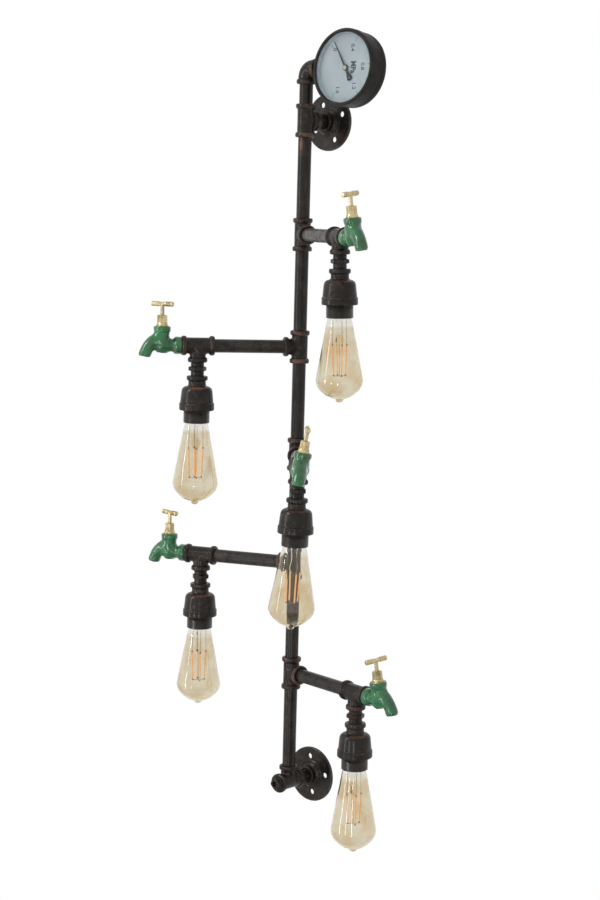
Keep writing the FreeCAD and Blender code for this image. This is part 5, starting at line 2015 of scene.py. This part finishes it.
@dataclass(frozen=True)
class Studio:
    """The pale floor, the light and the camera that matches the photograph.

    The camera's sizes are in mm and degrees, and the floor's and the lamps' in m and W. Each
    strip is given by its bearing to the left of the camera and its height.
    """

    lens: float = 80.9
    heading: float = 40.7
    pitch: float = 6.84
    roll: float = 1.49
    distance: float = 2899.0
    aside: float = 4.4
    height: float = -122.0
    softness: float = 0.42
    floor_drop: float = 1.50
    floor_half_width: float = 2.5
    floor_reach: float = 4.0
    key_spot: tuple[float, float, float] = (-1.1, -2.4, 1.1)
    key_target: tuple[float, float, float] = (0.0, 0.0, -0.4)
    key_size: float = 0.6
    key_watts: float = 24.0
    strips: tuple[tuple[float, float], ...] = ((8.0, 0.8), (38.0, 0.8), (72.0, 2.1))
    strip_distance: float = 2.4
    strip_foot: float = -1.6
    strip_width: float = 0.12
    strip_watts: float = 7.5

    def build(self) -> None:
        """Builds the stage."""
        self.world()
        self.floor()
        self.camera()
        self.lamps()

    def world(self) -> None:
        """Makes a world that is white to the eye and lights the lamp softly."""
        world = bpy.data.worlds.new("studio_world")
        world.use_nodes = True
        bpy.context.scene.world = world
        graph = Graph(world.node_tree)
        path = graph.add("LightPath").outputs
        seen = graph.maths("MAXIMUM", path["Is Camera Ray"], path["Is Transmission Ray"])
        seen = graph.maths("MAXIMUM", seen, path["Is Glossy Ray"])
        background = world.node_tree.nodes["Background"]
        graph.plain(background, Color=(1.0, 1.0, 1.0, 1.0))
        graph.feed(graph.maths("MAXIMUM", seen, self.softness), background, "Strength")

    def floor(self) -> None:
        """Lays a pale floor below the lamp, ending at the wall's plane."""
        mesh = bpy.data.meshes.new("pale_floor")
        half, reach, z = self.floor_half_width, self.floor_reach, -self.floor_drop
        mesh.from_pydata([(-half, -reach, z), (half, -reach, z), (half, 0.0, z), (-half, 0.0, z)], [],
                         [(0, 1, 2, 3)])
        material = bpy.data.materials.new("floor_paint")
        material.use_nodes = True
        shader = material.node_tree.nodes["Principled BSDF"]
        Graph.plain(shader, Base_Color=(0.8, 0.8, 0.8, 1.0), Roughness=0.8)
        mesh.materials.append(material)
        floor = bpy.data.objects.new("pale_floor", mesh)
        bpy.context.scene.collection.objects.link(floor)

    def camera(self) -> None:
        """Puts the camera at the photograph's place.

        Its level direction makes the heading's angle with +y towards -x; it looks down by the
        pitch and is rolled so that upright lines lean to the right.
        """
        turned_by, down, rolled = (math.radians(v) for v in (self.heading, self.pitch, self.roll))
        right = np.array((math.cos(turned_by), math.sin(turned_by), 0.0))
        level = np.array((-math.sin(turned_by), math.cos(turned_by), 0.0))
        up = math.sin(down) * level + math.cos(down) * np.array((0.0, 0.0, 1.0))
        ahead = math.cos(down) * level - math.sin(down) * np.array((0.0, 0.0, 1.0))
        tilted_right = math.cos(rolled) * right + math.sin(rolled) * up
        tilted_up = math.cos(rolled) * up - math.sin(rolled) * right
        spot = np.array((0.0, -LAYOUT.standoff, self.height)) + self.aside * right - self.distance * level
        matrix = np.eye(4)
        matrix[:3] = np.stack([tilted_right, tilted_up, -ahead, spot * MM], axis=1)
        lens = bpy.data.cameras.new("studio_camera")
        lens.sensor_fit, lens.sensor_width, lens.lens = "AUTO", 36.0, self.lens
        camera = bpy.data.objects.new("studio_camera", lens)
        camera.matrix_world = Matrix(matrix.tolist())
        bpy.context.scene.collection.objects.link(camera)
        bpy.context.scene.camera = camera

    def lamps(self) -> None:
        """Hangs a soft lamp at the upper left and stands upright strips to the camera's left.

        The bulbs mirror the strips as bright streaks, and the tall one also lights the edge of
        the gauge's case.
        """
        size = self.key_size
        SoftLamp("key_lamp", self.key_spot, self.key_target, size, size, self.key_watts).build()
        for bearing, tall in self.strips:
            angle = math.radians(self.heading - bearing)
            height = self.strip_foot + tall / 2
            away = (math.sin(angle) * self.strip_distance, -math.cos(angle) * self.strip_distance)
            SoftLamp(f"strip_lamp_{bearing:.0f}", (*away, height), (0.0, 0.0, height),
                     self.strip_width, tall, self.strip_watts * tall).build()


def dress_kept_nodes() -> None:
    """Gives each CAD node that is still shown its finish."""
    finishes = {"gauge_stem": DARK_STEM, "gauge_movement": WORKS, "column_wiring": SHEATH,
                **{f"lampholder_{plan.number}": HOLDER for plan in ARMS}}
    for name, finish in finishes.items():
        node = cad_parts[name]
        node.data.materials.clear()
        node.data.materials.append(finish.material())
        LOG.info("%s: kept, with %s", name, finish.name)


def main() -> None:
    """Builds the lamp from the wall outwards, and then the studio."""
    logging.basicConfig(level=logging.INFO, format="%(message)s")
    bpy.context.scene.view_settings.view_transform = "Standard"
    Column().build()
    PressureGauge().build()
    for plan in ARMS:
        SwingArm(plan).build()
    dress_kept_nodes()
    Studio().build()


if __name__ == "__main__":
    main()
